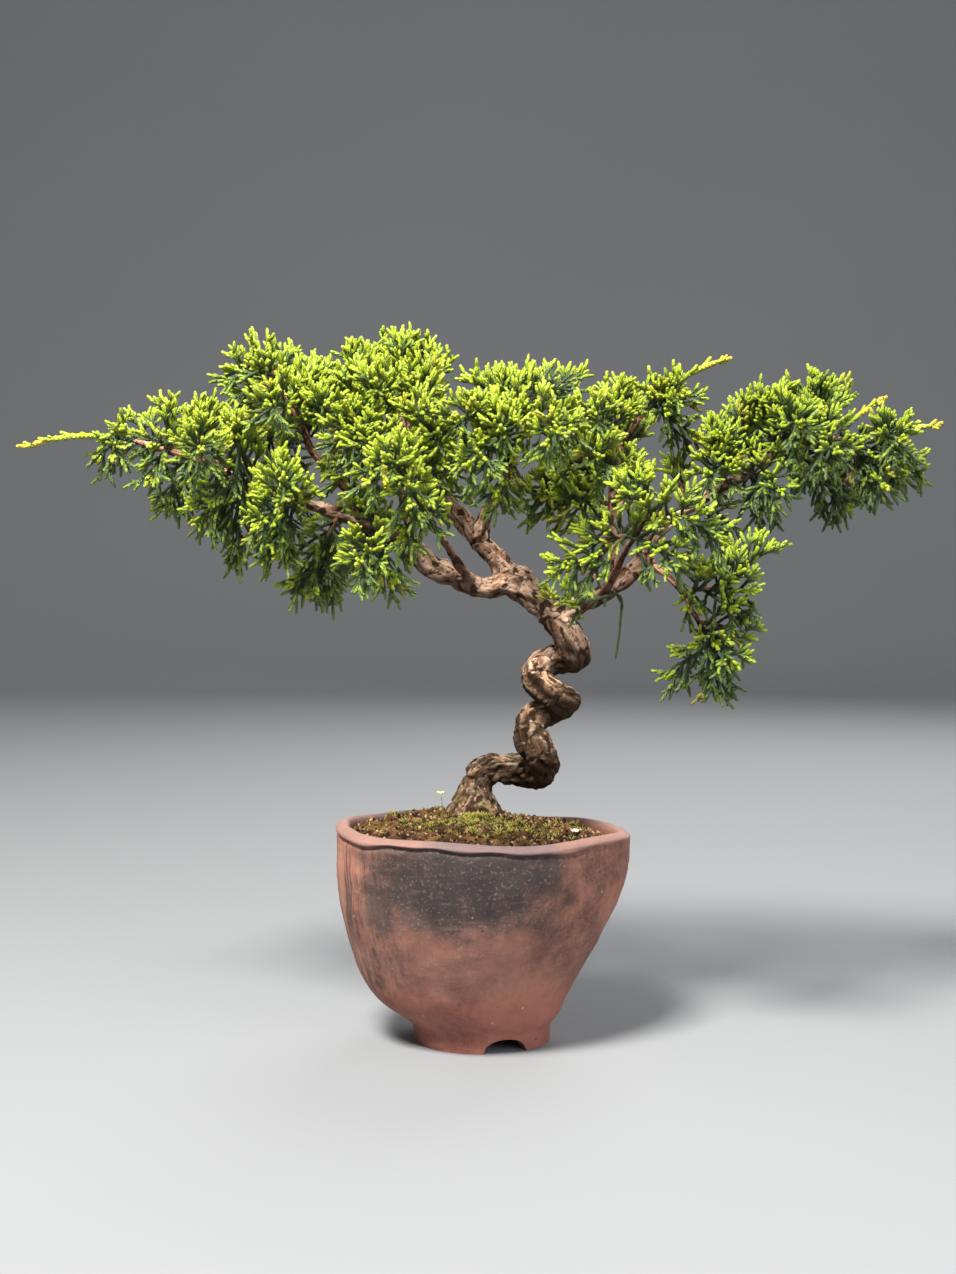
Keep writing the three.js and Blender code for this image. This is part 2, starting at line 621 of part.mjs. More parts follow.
// Pulls one face of the body out along a line of centres, with a radius at each.
// A last radius of zero closes it in a tip. Returns the new faces, step by step.
function pullFace(body, face, centres, radii) {
  const middle = faceMiddle(body, face);
  let ring = body.faces[face];
  body.faces[face] = null;
  body.taken.add(body.partners[face]);
  const steps = [];
  centres.forEach((centre, i) => {
    const direction = (centres[i + 1] ?? centre).clone().sub(centres[i - 1] ?? middle).normalize();
    const first = body.points.length;
    if (radii[i] === 0) {
      body.points.push(centre);
      steps.push(ring.map((corner, k) => addFace(body, corner, ring[(k + 1) % 3], first)));
      return;
    }
    const reference = new THREE.Vector3();
    ring.forEach((corner, k) => {
      const arm = body.points[corner].clone().sub(middleOf(ring.map((index) => body.points[index])));
      reference.add(arm.projectOnPlane(direction).applyAxisAngle(direction, -k * THIRD));
    });
    body.points.push(...ringAround(centre, direction, radii[i], reference));
    const next = [first, first + 1, first + 2];
    steps.push(ring.flatMap((corner, k) => {
      const after = (k + 1) % 3;
      const side = [
        addFace(body, corner, ring[after], next[after]),
        addFace(body, corner, next[after], next[k]),
      ];
      [body.partners[side[0]], body.partners[side[1]]] = [side[1], side[0]];
      return side;
    }));
    ring = next;
  });
  if (radii[radii.length - 1] !== 0) body.front = addFace(body, ...ring);
  return steps;
}

function addFace(body, a, b, c) {
  body.faces.push([a, b, c]);
  return body.faces.length - 1;
}

function faceMiddle(body, face) {
  return middleOf(body.faces[face].map((corner) => body.points[corner]));
}

function middleOf(points) {
  return points.reduce((sum, point) => sum.add(point), new THREE.Vector3()).divideScalar(points.length);
}

function facing(body, face) {
  const [a, b, c] = body.faces[face].map((corner) => body.points[corner]);
  return new THREE.Triangle(a, b, c).getNormal(new THREE.Vector3());
}

function freeFaces(body, faces) {
  return faces.filter((face) => body.faces[face] && !body.taken.has(face));
}

// The free face of a joint that looks most nearly the wanted way
function bestFace(body, joint, wanted) {
  const free = freeFaces(body, joint);
  const score = (face) => facing(body, face).dot(wanted);
  return free.reduce((best, face) => (score(face) > score(best) ? face : best), free[0]);
}

// Grows the tube of a stem from a face, with a short heel first. Between its plain stretches are
// short joints for the shoots to stand on, and those are returned.
function growStem(body, face, curve) {
  const length = curve.getLength();
  const count = Math.max(1, Math.round(length / JOINT_SPACING));
  const shares = [HEEL_LENGTH / length];
  for (let joint = 0; joint < count; joint += 1) {
    const middle = (joint + JOINT_PLACE) / count;
    shares.push(middle - JOINT_LENGTH / 2 / length, middle + JOINT_LENGTH / 2 / length);
  }
  shares.push(1);
  const centres = shares.map((share) => curve.getPointAt(share));
  const radii = shares.map((share) => THREE.MathUtils.lerp(STEM_BASE, STEM_END, share));
  return pullFace(body, face, centres, radii).filter((_, i) => i > 0 && i % 2 === 0);
}

// One leafy cord from a face: widest near its blunt tip. Each try leans it another way, and it is
// left out where there is no room. Its outer part keeps clear of its own spray too.
function growCord(name, body, face, wanted, length, random) {
  const start = faceMiddle(body, face);
  for (let attempt = 0; attempt < CORD_TRIES; attempt += 1) {
    const stray = CORD_STRAY[0] + CORD_STRAY[1] * attempt;
    const way = wanted.clone().addScaledVector(randomVector(random), stray).normalize();
    const reach = length * (1 - CORD_SHORTENING * attempt);
    const end = start.clone().addScaledVector(way, reach);
    const outer = start.clone().lerp(end, FREE_OF_SELF);
    const facesOut = facing(body, face).dot(way) > FACE_ANGLE;
    const free = isClear({ start, end, radius: CORD_RADIUS }, [name])
      && isClear({ start: outer, end, radius: CORD_RADIUS - CLEARANCE }, []);
    if (facesOut && free && !isCrowded(start, way)) {
      placed.push({ owner: name, leaves: true, start, end, radius: CORD_RADIUS });
      pullFace(body, face, [start.clone().lerp(end, WIDEST_AT), end], [CORD_RADIUS, 0]);
      return;
    }
  }
}

// Splits the front face in three and grows a finger from each
function growTuft(name, body, along, random) {
  const corners = body.faces[body.front];
  const points = corners.map((corner) => body.points[corner]);
  const centre = middleOf(points).addScaledVector(along, TUFT_DOME);
  body.faces[body.front] = null;
  body.points.push(centre);
  const middle = body.points.length - 1;
  const fingers = corners.map((corner, k) => addFace(body, corner, corners[(k + 1) % 3], middle));
  fingers.forEach((face, k) => {
    const side = points[k].clone().add(points[(k + 1) % 3]).multiplyScalar(0.5).sub(centre);
    const wanted = side.projectOnPlane(along).setLength(FINGER_SPREAD).add(along);
    growCord(name, body, face, wanted.normalize(), FINGER_LENGTH, random);
  });
}

// Side shoots leave a stem by turns to the left, to the right and below, and its end is a tuft
function dressStem(name, body, joints, curve, random) {
  joints.forEach((joint, i) => {
    const share = (i + JOINT_PLACE) / joints.length;
    const along = curve.getTangentAt(share);
    const left = new THREE.Vector3(-along.y, along.x, 0).normalize();
    const ways = [
      left.clone().setZ(SHOOT_RISE),
      left.clone().negate().setZ(SHOOT_RISE),
      new THREE.Vector3(0, 0, -1),
    ];
    ways.splice((i + 2) % 3, 1);
    for (const way of ways) {
      const wanted = way.normalize().multiplyScalar(SHOOT_SPREAD).addScaledVector(along, SHOOT_LEAN);
      const variation = SHOOT_VARIATION[0] + SHOOT_VARIATION[1] * random();
      const reach = SHOOT_LENGTH * (1 - SHOOT_SHRINK * share) * variation;
      const face = bestFace(body, joint, way);
      if (face !== undefined) growCord(name, body, face, wanted.normalize(), reach, random);
    }
  });
}

// The stems of one spray: the first grows from the branch, and each other one forks from the
// joint face that looks most nearly towards its tip
function growStems(name, [branch, share, tips], random) {
  const start = curveThrough(BRANCHES[branch].route).getPoint(share);
  const up = new THREE.Vector3(0, 0, STEM_ARCH);
  const first = stemCurve(name, start, vector(tips[0]), up, [['wood'], ['wood']], random);
  const body = startBody(start, first.getTangent(0));
  const stems = [{ curve: first, joints: growStem(body, body.front, first), front: body.front }];
  for (const tip of tips.slice(1).map(vector)) {
    const faces = freeFaces(body, stems[0].joints.flat());
    const score = (face) => facing(body, face).dot(tip.clone().sub(faceMiddle(body, face)).normalize());
    const face = faces.reduce((best, other) => (score(other) > score(best) ? other : best));
    const lift = facing(body, face).multiplyScalar(FORK_LIFT);
    const curve = stemCurve(name, faceMiddle(body, face), tip, lift, [[name, 'wood'], [name]], random);
    stems.push({ curve, joints: growStem(body, face, curve), front: body.front });
  }
  return { name, body, stems };
}

function dressSpray({ name, body, stems }, random) {
  for (const { curve, front } of stems) {
    body.front = front;
    growTuft(name, body, curve.getTangent(1), random);
  }
  for (const { curve, joints } of stems) dressStem(name, body, joints, curve, random);
}

function bodySolid({ points, faces }) {
  return new wasm.Manifold(new wasm.Mesh({
    numProp: 3,
    vertProperties: new Float32Array(points.flatMap((point) => point.toArray())),
    triVerts: new Uint32Array(faces.filter(Boolean).flat()),
  }));
}

function buildSprays(wood) {
  placeWood();
  const random = seeded(20);
  const counts = {};
  const sprays = SPRAYS.map((spray) => {
    counts[spray[0]] = (counts[spray[0]] ?? 0) + 1;
    return growStems(`spray_${spray[0]}_${counts[spray[0]]}`, spray, random);
  });
  for (const spray of sprays) dressSpray(spray, random);
  return sprays.map(({ name, body }) => {
    const solid = bodySolid(body).subtract(wood);
    return namedMesh(name, mainBody(solid), MATERIALS.green);
  });
}

const pot = new THREE.Group();
pot.add(namedMesh('pot', buildPot(), MATERIALS.clay));
pot.add(namedMesh('drain_mesh', buildDrainMesh(), MATERIALS.plastic));
pot.add(namedMesh('soil', buildSoil(pebbleSolid(GAP)), MATERIALS.soil));
pot.add(namedMesh('pebble', pebbleSolid(0), MATERIALS.stone));

const tree = new THREE.Group();
tree.add(namedMesh('trunk', buildWood(0), MATERIALS.bark));
tree.add(...buildSprays(buildWood(GAP)));

const bonsai = new THREE.Group();
bonsai.add(pot, tree);

export default bonsai;
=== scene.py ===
import math
import random

import bpy
import numpy as np
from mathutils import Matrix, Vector, kdtree, noise


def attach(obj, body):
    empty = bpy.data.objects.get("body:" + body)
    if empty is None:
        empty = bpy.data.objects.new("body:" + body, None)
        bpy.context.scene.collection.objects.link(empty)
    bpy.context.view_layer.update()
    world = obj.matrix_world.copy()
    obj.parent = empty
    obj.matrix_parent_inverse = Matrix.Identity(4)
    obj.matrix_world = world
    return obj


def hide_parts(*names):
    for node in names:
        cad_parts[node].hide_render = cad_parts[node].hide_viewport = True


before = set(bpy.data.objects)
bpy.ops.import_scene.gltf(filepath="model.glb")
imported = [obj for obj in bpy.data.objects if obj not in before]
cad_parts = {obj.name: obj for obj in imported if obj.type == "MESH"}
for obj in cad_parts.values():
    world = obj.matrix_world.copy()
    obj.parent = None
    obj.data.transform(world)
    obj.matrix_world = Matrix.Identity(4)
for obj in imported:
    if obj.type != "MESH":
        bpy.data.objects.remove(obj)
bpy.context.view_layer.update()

# Studio
# The camera stands 0.6 m in front of the trunk, a little above the rim of the pot, and looks 2.5
# degrees down. A lamp lights the tree from above and the left, and the floor is pale.

MM = 0.001
CAMERA_PLACE = (-1.264, -599.43, 153.84)
LOOKS_DOWN = 2.5
CROWN = (0, 0, 0.15)

camera_data = bpy.data.cameras.new("camera")
camera_data.sensor_fit = "VERTICAL"
camera_data.sensor_height = 24
camera_data.lens = 35.77
camera = bpy.data.objects.new("camera", camera_data)
camera.location = [c * MM for c in CAMERA_PLACE]
camera.rotation_euler = (math.radians(90 - LOOKS_DOWN), 0, 0)
bpy.context.scene.collection.objects.link(camera)
bpy.context.scene.camera = camera


def add_lamp(name, place, size, power, colour):
    """A square lamp that faces the crown of the tree."""
    lamp_data = bpy.data.lights.new(name, "AREA")
    lamp_data.size = size
    lamp_data.energy = power
    lamp_data.color = colour
    lamp = bpy.data.objects.new(name, lamp_data)
    lamp.location = place
    lamp.rotation_euler = (Vector(CROWN) - Vector(place)).to_track_quat("-Z", "Y").to_euler()
    bpy.context.scene.collection.objects.link(lamp)


add_lamp("key_lamp", (-0.34, -0.66, 1.05), 0.32, 48, (1.0, 0.98, 0.94))
add_lamp("fill_lamp", (0.9, -0.9, 0.4), 0.9, 10, (0.95, 0.97, 1.0))
add_lamp("back_lamp", (0.35, 0.9, 0.8), 0.7, 9, (1.0, 1.0, 1.0))

bpy.context.scene.view_settings.view_transform = "Standard"

sky = bpy.data.worlds.new("studio")
sky.use_nodes = True
sky.node_tree.nodes["Background"].inputs["Color"].default_value = (0.82, 0.86, 0.9, 1)
sky.node_tree.nodes["Background"].inputs["Strength"].default_value = 0.34
bpy.context.scene.world = sky


def linear(colour):
    """A colour of 0 to 255 a channel, as the linear values that a shader takes."""
    shares = [value / 255 for value in colour]
    return [s / 12.92 if s <= 0.04045 else ((s + 0.055) / 1.055) ** 2.4 for s in shares] + [1]


class Finish:
    """A material whose shader is fed by a few procedural layers."""

    def __init__(self, name, roughness, shine=0.5):
        self.material = bpy.data.materials.new(name)
        self.material.use_nodes = True
        self.nodes = self.material.node_tree.nodes
        self.shader = self.nodes["Principled BSDF"]
        self.shader.inputs["Roughness"].default_value = roughness
        self.shader.inputs["Specular IOR Level"].default_value = shine
        self.place = self.add("ShaderNodeTexCoord").outputs["Object"]
        self.tint = None

    def put(self, value, socket):
        if isinstance(value, bpy.types.NodeSocket):
            self.material.node_tree.links.new(value, socket)
        else:
            socket.default_value = value

    def add(self, kind, values=(), **settings):
        node = self.nodes.new(kind)
        for key, value in settings.items():
            setattr(node, key, value)
        for key, value in dict(values).items():
            self.put(value, node.inputs[key])
        return node

    def worked(self, operation, first, second=0.5, third=0.5):
        """The result of a sum: MULTIPLY, MULTIPLY_ADD, MAXIMUM and so on."""
        values = {0: first, 1: second, 2: third}
        return self.add("ShaderNodeMath", values, operation=operation).outputs[0]

    def times(self, first, second):
        return self.worked("MULTIPLY", first, second)

    def stretched(self, scale, source=None):
        values = {0: source or self.place, 1: scale}
        return self.add("ShaderNodeVectorMath", values, operation="MULTIPLY").outputs[0]

    def grain(self, scale, source=None, detail=4, roughness=0.55):
        """Noise of one scale, or of a scale along each axis."""
        if isinstance(scale, tuple):
            source = self.stretched(scale, source)
            scale = 1
        values = {"Vector": source or self.place, "Scale": scale, "Detail": detail, "Roughness": roughness}
        return self.add("ShaderNodeTexNoise", values).outputs["Fac"]

    def cells(self, scale, output="Distance"):
        return self.add("ShaderNodeTexVoronoi", {"Vector": self.place, "Scale": scale}).outputs[output]

    def step(self, value, low, high):
        """0 at the low value and 1 at the high one, with a smooth rise between them."""
        values = {"Value": value, "From Min": low, "From Max": high}
        return self.add("ShaderNodeMapRange", values, interpolation_type="SMOOTHSTEP").outputs["Result"]

    def near(self, centre, reach, spread):
        """1 at a centre, 0 past its reach in millimetres, with a spread of grain along its edge."""
        values = {0: self.place, 1: [c * MM for c in centre]}
        away = self.add("ShaderNodeVectorMath", values, operation="SUBTRACT").outputs[0]
        scaled = self.stretched([1 / (r * MM) for r in reach], away)
        length = self.add("ShaderNodeVectorMath", {0: scaled}, operation="LENGTH").outputs["Value"]
        broken = self.worked("MULTIPLY_ADD", self.grain(110), spread, length)
        return self.step(broken, 1 + spread / 2, 0.45 + spread / 2)

    def noted(self, name, output="Fac"):
        """The values that a mesh has under a name."""
        return self.add("ShaderNodeAttribute", attribute_name=name).outputs[output]

    def part(self, axis, source=None):
        """One of the three numbers of a place or of a noted value."""
        return self.add("ShaderNodeSeparateXYZ", {0: source or self.place}).outputs[axis]

    def facing_down(self, level=0.15, steep=-0.85):
        """1 where the surface faces the ground, 0 where it faces up or sideways."""
        normal = self.add("ShaderNodeNewGeometry").outputs["Normal"]
        return self.step(self.part("Z", normal), level, steep)

    def mixed(self, share, first, second):
        """Two tints, each a colour of 0 to 255 a channel or a layer, mixed by a share."""
        tints = [t if isinstance(t, bpy.types.NodeSocket) else linear(t) for t in (first, second)]
        values = {"Factor": share, 6: tints[0], 7: tints[1]}
        return self.add("ShaderNodeMix", values, data_type="RGBA").outputs[2]

    def paint(self, tint):
        """Gives the whole surface a tint."""
        self.tint = tint
        self.put(tint, self.shader.inputs["Base Color"])

    def coat(self, tint, share, strength=1):
        """Lays a tint over those before it, as far as its share and its strength say."""
        if strength != 1:
            share = self.times(share, strength)
        self.paint(self.mixed(share, self.tint, tint))

    def relief(self, layers):
        """Bumps, each of a height in millimetres, one over the other."""
        normal = None
        for height, size in layers:
            values = {"Height": height, "Distance": size * MM, "Strength": 1.0}
            if normal:
                values["Normal"] = normal
            normal = self.add("ShaderNodeBump", values).outputs["Normal"]
        self.put(normal, self.shader.inputs["Normal"])


def add_piece(name, points, faces, finish, smooth=True):
    """A mesh object from points in millimetres and faces as lists of corners."""
    mesh = bpy.data.meshes.new(name)
    mesh.from_pydata(np.asarray(points, dtype=float) * MM, [], faces)
    mesh.validate()
    mesh.polygons.foreach_set("use_smooth", [smooth] * len(mesh.polygons))
    mesh.materials.append(finish.material)
    piece = bpy.data.objects.new(name, mesh)
    bpy.context.scene.collection.objects.link(piece)
    return piece


# The floor bends up into a wall far behind the pot
FLOOR_FRONT = -2600
FLOOR_SIDE = 4000
BEND_START = 1500
BEND_RADIUS = 900
WALL_TOP = 4000

backdrop_paint = Finish("backdrop_paint", 0.9)
backdrop_paint.paint(backdrop_paint.mixed(backdrop_paint.grain(3), (126, 128, 130), (131, 132, 134)))
floor_line = [(FLOOR_FRONT, 0)]
for angle in np.linspace(0, math.pi / 2, 25):
    floor_line.append((BEND_START + BEND_RADIUS * math.sin(angle), BEND_RADIUS * (1 - math.cos(angle))))
floor_line.append((BEND_START + BEND_RADIUS, WALL_TOP))
floor_points = [(x, y, z) for y, z in floor_line for x in (-FLOOR_SIDE, FLOOR_SIDE)]
floor_faces = [(i, i + 1, i + 3, i + 2) for i in range(0, len(floor_points) - 2, 2)]
backdrop = add_piece("backdrop", floor_points, floor_faces, backdrop_paint)


# Pot
# A cup pinched by hand from reddish-brown clay and fired without glaze. Its lip is rolled over, its
# foot ring is cut into three feet, and smoke from the firing left a dark cloud on the front.

POT_HEIGHT = 67.6
POT_WALL = 4.5
POT_SIDES = 190
FOOT_HEIGHT = 5.6
FOOT_RADIUS = 21.5
FOOT_INSIDE = 16
FOOT_ARCHES = 3
ARCH_HALF = 7
ARCH_RISE = 4.4
FIRST_ARCH = -1.22
FLOOR_TOP = 13
FLOOR_RADIUS = 19
FLOOR_ROUND = 3
DRAIN_RADIUS = 5
EDGE_ROUND = 0.4
INSIDE_TOP = 64
# The outside from the foot up, as radius and height
POT_OUTSIDE = [(22.2, 5.6), (29.4, 13), (34.3, 21), (38.7, 30), (42.7, 41), (45.2, 54), (46, 65.5),
               (46.03, 66)]
WALL_HEIGHTS = [*np.linspace(5.6, 59, 44), *np.linspace(59.6, 65.9, 23)]
# The lip from outside to inside, as how far in from the wall, and its height
LIP = [(0.05, 66.2), (0.3, 66.5), (0.8, 66.9), (1.4, 67.25), (2.1, 67.5), (2.8, 67.6), (3.3, 67.55),
       (3.7, 67.3), (4.05, 66.9), (4.3, 66.3), (4.45, 65.7), (4.5, 65.0)]
# Out-of-round of the wall and lift of the rim: share or millimetres, waves a turn, phase
WALL_WAVES = [(0.012, 2, 0.3), (0.006, 3, -0.4), (0.008, 5, 1.1)]
RIM_WAVES = [(-1.15, 1, 0), (0.9, 1, 1.57), (0.55, 2, 0.6), (0.5, 5, 2.97)]
BELLY_SAG = 3.8
BELLY_HEIGHT = 20
BELLY_BELOW = 13
BELLY_ABOVE = 24
BELLY_START = 14
# Dents and grit of the clay: how fine, how high, and where the noise starts
BROAD_DENTS = (0.055, 0.8, (3, 1, 8))
FINGER_DENTS = (0.15, 0.4, (9, 4, 2))
CLAY_GRIT = (0.9, 0.1, (0, 0, 0))
PLAIN_MIDDLE = 14
LIP_EDGE = 65.4
LIP_STANDS = 0.7
LIP_GROOVE = 0.5


def smooth_step(value, low, high):
    share = np.clip((value - low) / (high - low), 0, 1)
    return share * share * (3 - 2 * share)


def wave_sum(waves, turn):
    return sum(size * np.cos(count * turn + phase) for size, count, phase in waves)


def hand_formed(points):
    """The pinching of the clay: out of round, sagging to one side below the middle, uneven at the rim."""
    x, y, z = points.T
    turn = np.arctan2(y, x)
    share = smooth_step(z, FOOT_HEIGHT, POT_HEIGHT)
    wide = 1 + share * wave_sum(WALL_WAVES, turn)
    offset = (z - BELLY_HEIGHT) / np.where(z < BELLY_HEIGHT, BELLY_BELOW, BELLY_ABOVE)
    sag = BELLY_SAG * np.exp(-offset * offset) * smooth_step(z, FOOT_HEIGHT, BELLY_START)
    lift = share ** 4 * wave_sum(RIM_WAVES, turn)
    return np.stack([x * wide - sag, y * wide, z + lift], 1)


def spline_2d(points, count):
    """A smooth curve through points in a plane."""
    points = np.asarray(points, dtype=float)
    padded = np.vstack([points[:1], points, points[-1:]])
    curve = []
    for place in np.linspace(0, len(points) - 1, count):
        i = min(int(place), len(points) - 2)
        p0, p1, p2, p3 = padded[i:i + 4]
        t = place - i
        start, end = (p2 - p0) / 2, (p3 - p1) / 2
        cubic = (2 * p1 - 2 * p2 + start + end) * t ** 3 + (-3 * p1 + 3 * p2 - 2 * start - end) * t * t
        curve.append(cubic + start * t + p1)
    return np.array(curve)


def ring_faces(rings, sides):
    """The four-sided faces between rings of points, each ring after the one before."""
    faces = []
    for i in range(rings - 1):
        for j in range(sides):
            k = (j + 1) % sides
            faces.append((i * sides + j, i * sides + k, (i + 1) * sides + k, (i + 1) * sides + j))
    return faces


def turned(profile, sides):
    """Points and faces of a closed profile of radius and height, turned about +Z."""
    profile = np.asarray(profile, dtype=float)
    turns = np.arange(sides) * 2 * math.pi / sides
    radius, height = profile[:, 0][:, None], profile[:, 1][:, None]
    points = np.stack([radius * np.cos(turns), radius * np.sin(turns), height + 0 * turns], 2)
    return points.reshape(-1, 3), ring_faces(len(profile), sides)


wall = spline_2d(POT_OUTSIDE, 200)
wall = np.stack([np.interp(WALL_HEIGHTS, wall[:, 1], wall[:, 0]), WALL_HEIGHTS], 1)
wall_slope = np.gradient(wall, axis=0)
wall_slope /= np.linalg.norm(wall_slope, axis=1)[:, None]
inside = wall + POT_WALL * np.stack([-wall_slope[:, 1], wall_slope[:, 0]], 1)
inside = inside[(inside[:, 1] < INSIDE_TOP) & (inside[:, 1] > FLOOR_TOP + FLOOR_ROUND)][::-1]
rim = wall[-1][0]
lip = [(rim - inward, z) for inward, z in LIP]
foot_wall = [(FOOT_RADIUS + 0.7 * z / FOOT_HEIGHT, z) for z in np.linspace(0, FOOT_HEIGHT - EDGE_ROUND, 9)]
floor_ring = [(r, FLOOR_TOP) for r in np.linspace(FLOOR_RADIUS, DRAIN_RADIUS, 8)]
drain_wall = [(DRAIN_RADIUS, z) for z in np.linspace(FLOOR_TOP - EDGE_ROUND, FOOT_HEIGHT, 5)]
under = [(r, FOOT_HEIGHT) for r in np.linspace(DRAIN_RADIUS + 0.6, FOOT_INSIDE - EDGE_ROUND, 8)]
foot_inside = [(FOOT_INSIDE, z) for z in np.linspace(FOOT_HEIGHT, 0, 8)]
foot_sole = [(r, 0) for r in np.linspace(FOOT_INSIDE + 0.8, FOOT_RADIUS, 7)]
pot_profile = foot_wall + list(wall) + lip + list(inside) + floor_ring + drain_wall + under + foot_inside
pot_points, pot_faces = turned(pot_profile + foot_sole, POT_SIDES)


def foot_arches(points):
    """Round-topped arches that cut the foot ring into three feet."""
    x, y, z = points.T
    radius, turn = np.hypot(x, y), np.arctan2(y, x)
    floor = np.zeros(len(points))
    for i in range(FOOT_ARCHES):
        apart = turn - FIRST_ARCH - i * 2 * math.pi / FOOT_ARCHES
        apart = (apart + math.pi) % (2 * math.pi) - math.pi
        aside = radius * np.sin(apart) / ARCH_HALF
        arch = ARCH_RISE * np.sqrt(np.clip(1 - aside ** 2, 0, 1))
        floor = np.maximum(floor, np.where(np.abs(apart) < 1, arch, 0))
    share = np.clip(z / FOOT_HEIGHT, 0, 1)
    raised = floor + (FOOT_HEIGHT - floor) * share
    return np.stack([x, y, np.where(z < FOOT_HEIGHT, raised, z)], 1)


def bumps(point, fineness, height, start=(0, 0, 0)):
    """How high an uneven surface stands at a point."""
    return height * noise.noise(Vector(point) * fineness + Vector(start))


def clay_relief(points):
    """Dents of the fingers, the uneven lower edge of the rolled lip and the small faults of the clay."""
    x, y, z = points.T
    turn, radius = np.arctan2(y, x), np.hypot(x, y)
    outside = smooth_step(radius - np.interp(z, wall[:, 1], wall[:, 0]), -2.5, -0.5) * (z > 1)
    push = np.zeros(len(points))
    for i in np.flatnonzero((radius > PLAIN_MIDDLE) & (z > 0.5)):
        push[i] = outside[i] * bumps(points[i], *BROAD_DENTS)
        push[i] += bumps(points[i], *FINGER_DENTS) + bumps(points[i], *CLAY_GRIT)
    rolled = 0.12 + 0.88 * smooth_step(np.cos(turn + 1.9), 0.1, 0.85)
    edge = LIP_EDGE + 0.4 * np.sin(3 * turn + 1) + 0.3 * np.sin(8 * turn) + 0.28 * np.sin(17 * turn + 2)
    over = smooth_step(z, edge - 0.22, edge + 0.18) * smooth_step(radius, rim - 3, rim - 1.2)
    push += LIP_STANDS * rolled * over * (1 - 0.35 * smooth_step(z, edge, edge + 2))
    push -= LIP_GROOVE * rolled * np.exp(-((z - edge + 0.7) / 0.7) ** 2) * (radius > rim - 3)
    moved = radius + push
    on_lip = smooth_step(z, edge - 0.25, edge + 0.3) * (radius > rim - 8)
    return np.stack([moved * np.cos(turn), moved * np.sin(turn), z], 1), on_lip


def note(mesh, name, values, kind="FLOAT", domain="POINT"):
    """Values at the points or corners of a mesh, under a name, for its finish to read."""
    key = "value" if kind == "FLOAT" else "vector"
    mesh.attributes.new(name, kind, domain).data.foreach_set(key, np.asarray(values, dtype=float).ravel())


pot_points, on_lip = clay_relief(foot_arches(pot_points))
pot_points = hand_formed(pot_points)

clay = Finish("fired_clay", 0.86)
mottle = clay.grain(42, detail=7, roughness=0.62)
clay.paint(clay.mixed(clay.step(mottle, 0.38, 0.62), (86, 49, 38), (147, 93, 75)))
clay.coat((158, 115, 97), clay.step(clay.grain(620, detail=6, roughness=0.8), 0.38, 0.62), 0.35)

# Broad patches: a blush in the middle, earth stains, a painted shade low down and a ruddy foot
clay.coat((148, 104, 91), clay.near((-8, -32, 28), (34, 26, 12), 0.9), 0.3)
clay.coat((94, 69, 48), clay.near((32, -26, 30), (22, 26, 22), 1.0), 0.12)
# Painted shade low on the front left of the belly
clay.coat((84, 47, 40), clay.near((-24, -28, 16), (22, 20, 13), 1.0), 0.12)
ruddy = clay.step(clay.worked("MULTIPLY_ADD", clay.grain(45), 0.012, clay.part("Z")), 0.03, 0.02)
clay.coat((142, 80, 66), ruddy, 0.55)

# Drag marks up the wall, pale and dark, most of them on the left
dragged = clay.grain((330, 330, 28), detail=5, roughness=0.65)
to_left = clay.near((-40, -22, 44), (26, 36, 40), 0.6)
clay.coat((154, 126, 106), clay.step(dragged, 0.5, 0.68), clay.worked("MULTIPLY_ADD", to_left, 0.35, 0.1))
clay.coat((62, 42, 35), clay.step(dragged, 0.5, 0.38), clay.worked("MULTIPLY_ADD", to_left, 0.75, 0.1))

# The dark cloud of the smoke, which fades downwards
clay.coat((74, 50, 44), clay.near((-14, -40, 41), (46, 40, 23), 0.6), 0.45)
smoke = clay.near((-7, -41, 61), (48, 36, 28), 1.0)
smoke_left = clay.near((-31, -34, 50), (8, 14, 18), 1.0)
clouds = clay.worked("MAXIMUM", smoke, clay.times(smoke_left, 0.8))
wisps = clay.grain((140, 140, 60), detail=6, roughness=0.65)
clay.coat(clay.mixed(clay.step(wisps, 0.3, 0.7), (22, 18, 18), (54, 44, 43)), clouds, 0.9)
clay.coat((24, 19, 21), clay.near((0, -43, 57), (34, 26, 14), 1.0), 0.6)

# The lip, lilac in the middle of the front, then wiped streaks, a painted highlight at the back left of the
# rim, and dust
lip_tint = clay.mixed(clay.grain(55, detail=5), (106, 77, 70), (150, 112, 100))
lilac = clay.times(clay.near((3, -44, 66), (28, 20, 8), 0.8), 0.75)
clay.coat(clay.mixed(lilac, lip_tint, (94, 80, 82)), clay.noted("on_lip"), 0.85)
wiped = clay.grain((90, 90, 520), detail=5, roughness=0.7)
clay.coat((142, 114, 102), clay.step(wiped, 0.52, 0.74), 0.2)
# Painted highlight, pale lilac grey, on the rim and inner wall at the back left
clay.coat((116, 104, 106), clay.near((-24, 33, 64), (26, 20, 9), 0.6), 0.7)
clay.coat((136, 112, 101), clay.step(clay.grain(1100, detail=3), 0.54, 0.72), 0.32)


def flecks(scale, share, small, large):
    """Marks of many sizes, each in its own cell, in a share of the cells."""
    kind = clay.add("ShaderNodeSeparateColor", {0: clay.cells(scale, "Color")})
    size = clay.worked("MULTIPLY_ADD", kind.outputs[1], large - small, small)
    mark = clay.step(clay.worked("DIVIDE", clay.cells(scale), size), 1, 0.6)
    return clay.times(mark, clay.worked("LESS_THAN", kind.outputs[0], share))


clay.coat((168, 150, 140), flecks(330, 0.07, 0.06, 0.2), 0.6)
pitted = flecks(240, 0.06, 0.06, 0.17)
clay.coat((64, 42, 38), pitted, 0.7)
clay.put(clay.worked("MULTIPLY_ADD", clay.grain(300), 0.2, 0.72), clay.shader.inputs["Roughness"])
clay.relief([(clay.grain(420, detail=6), 0.16), (wiped, 0.06), (pitted, -0.25)])

pot = add_piece("pot_clay", pot_points, pot_faces, clay)
note(pot.data, "on_lip", on_lip)
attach(pot, "root")
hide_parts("pot")


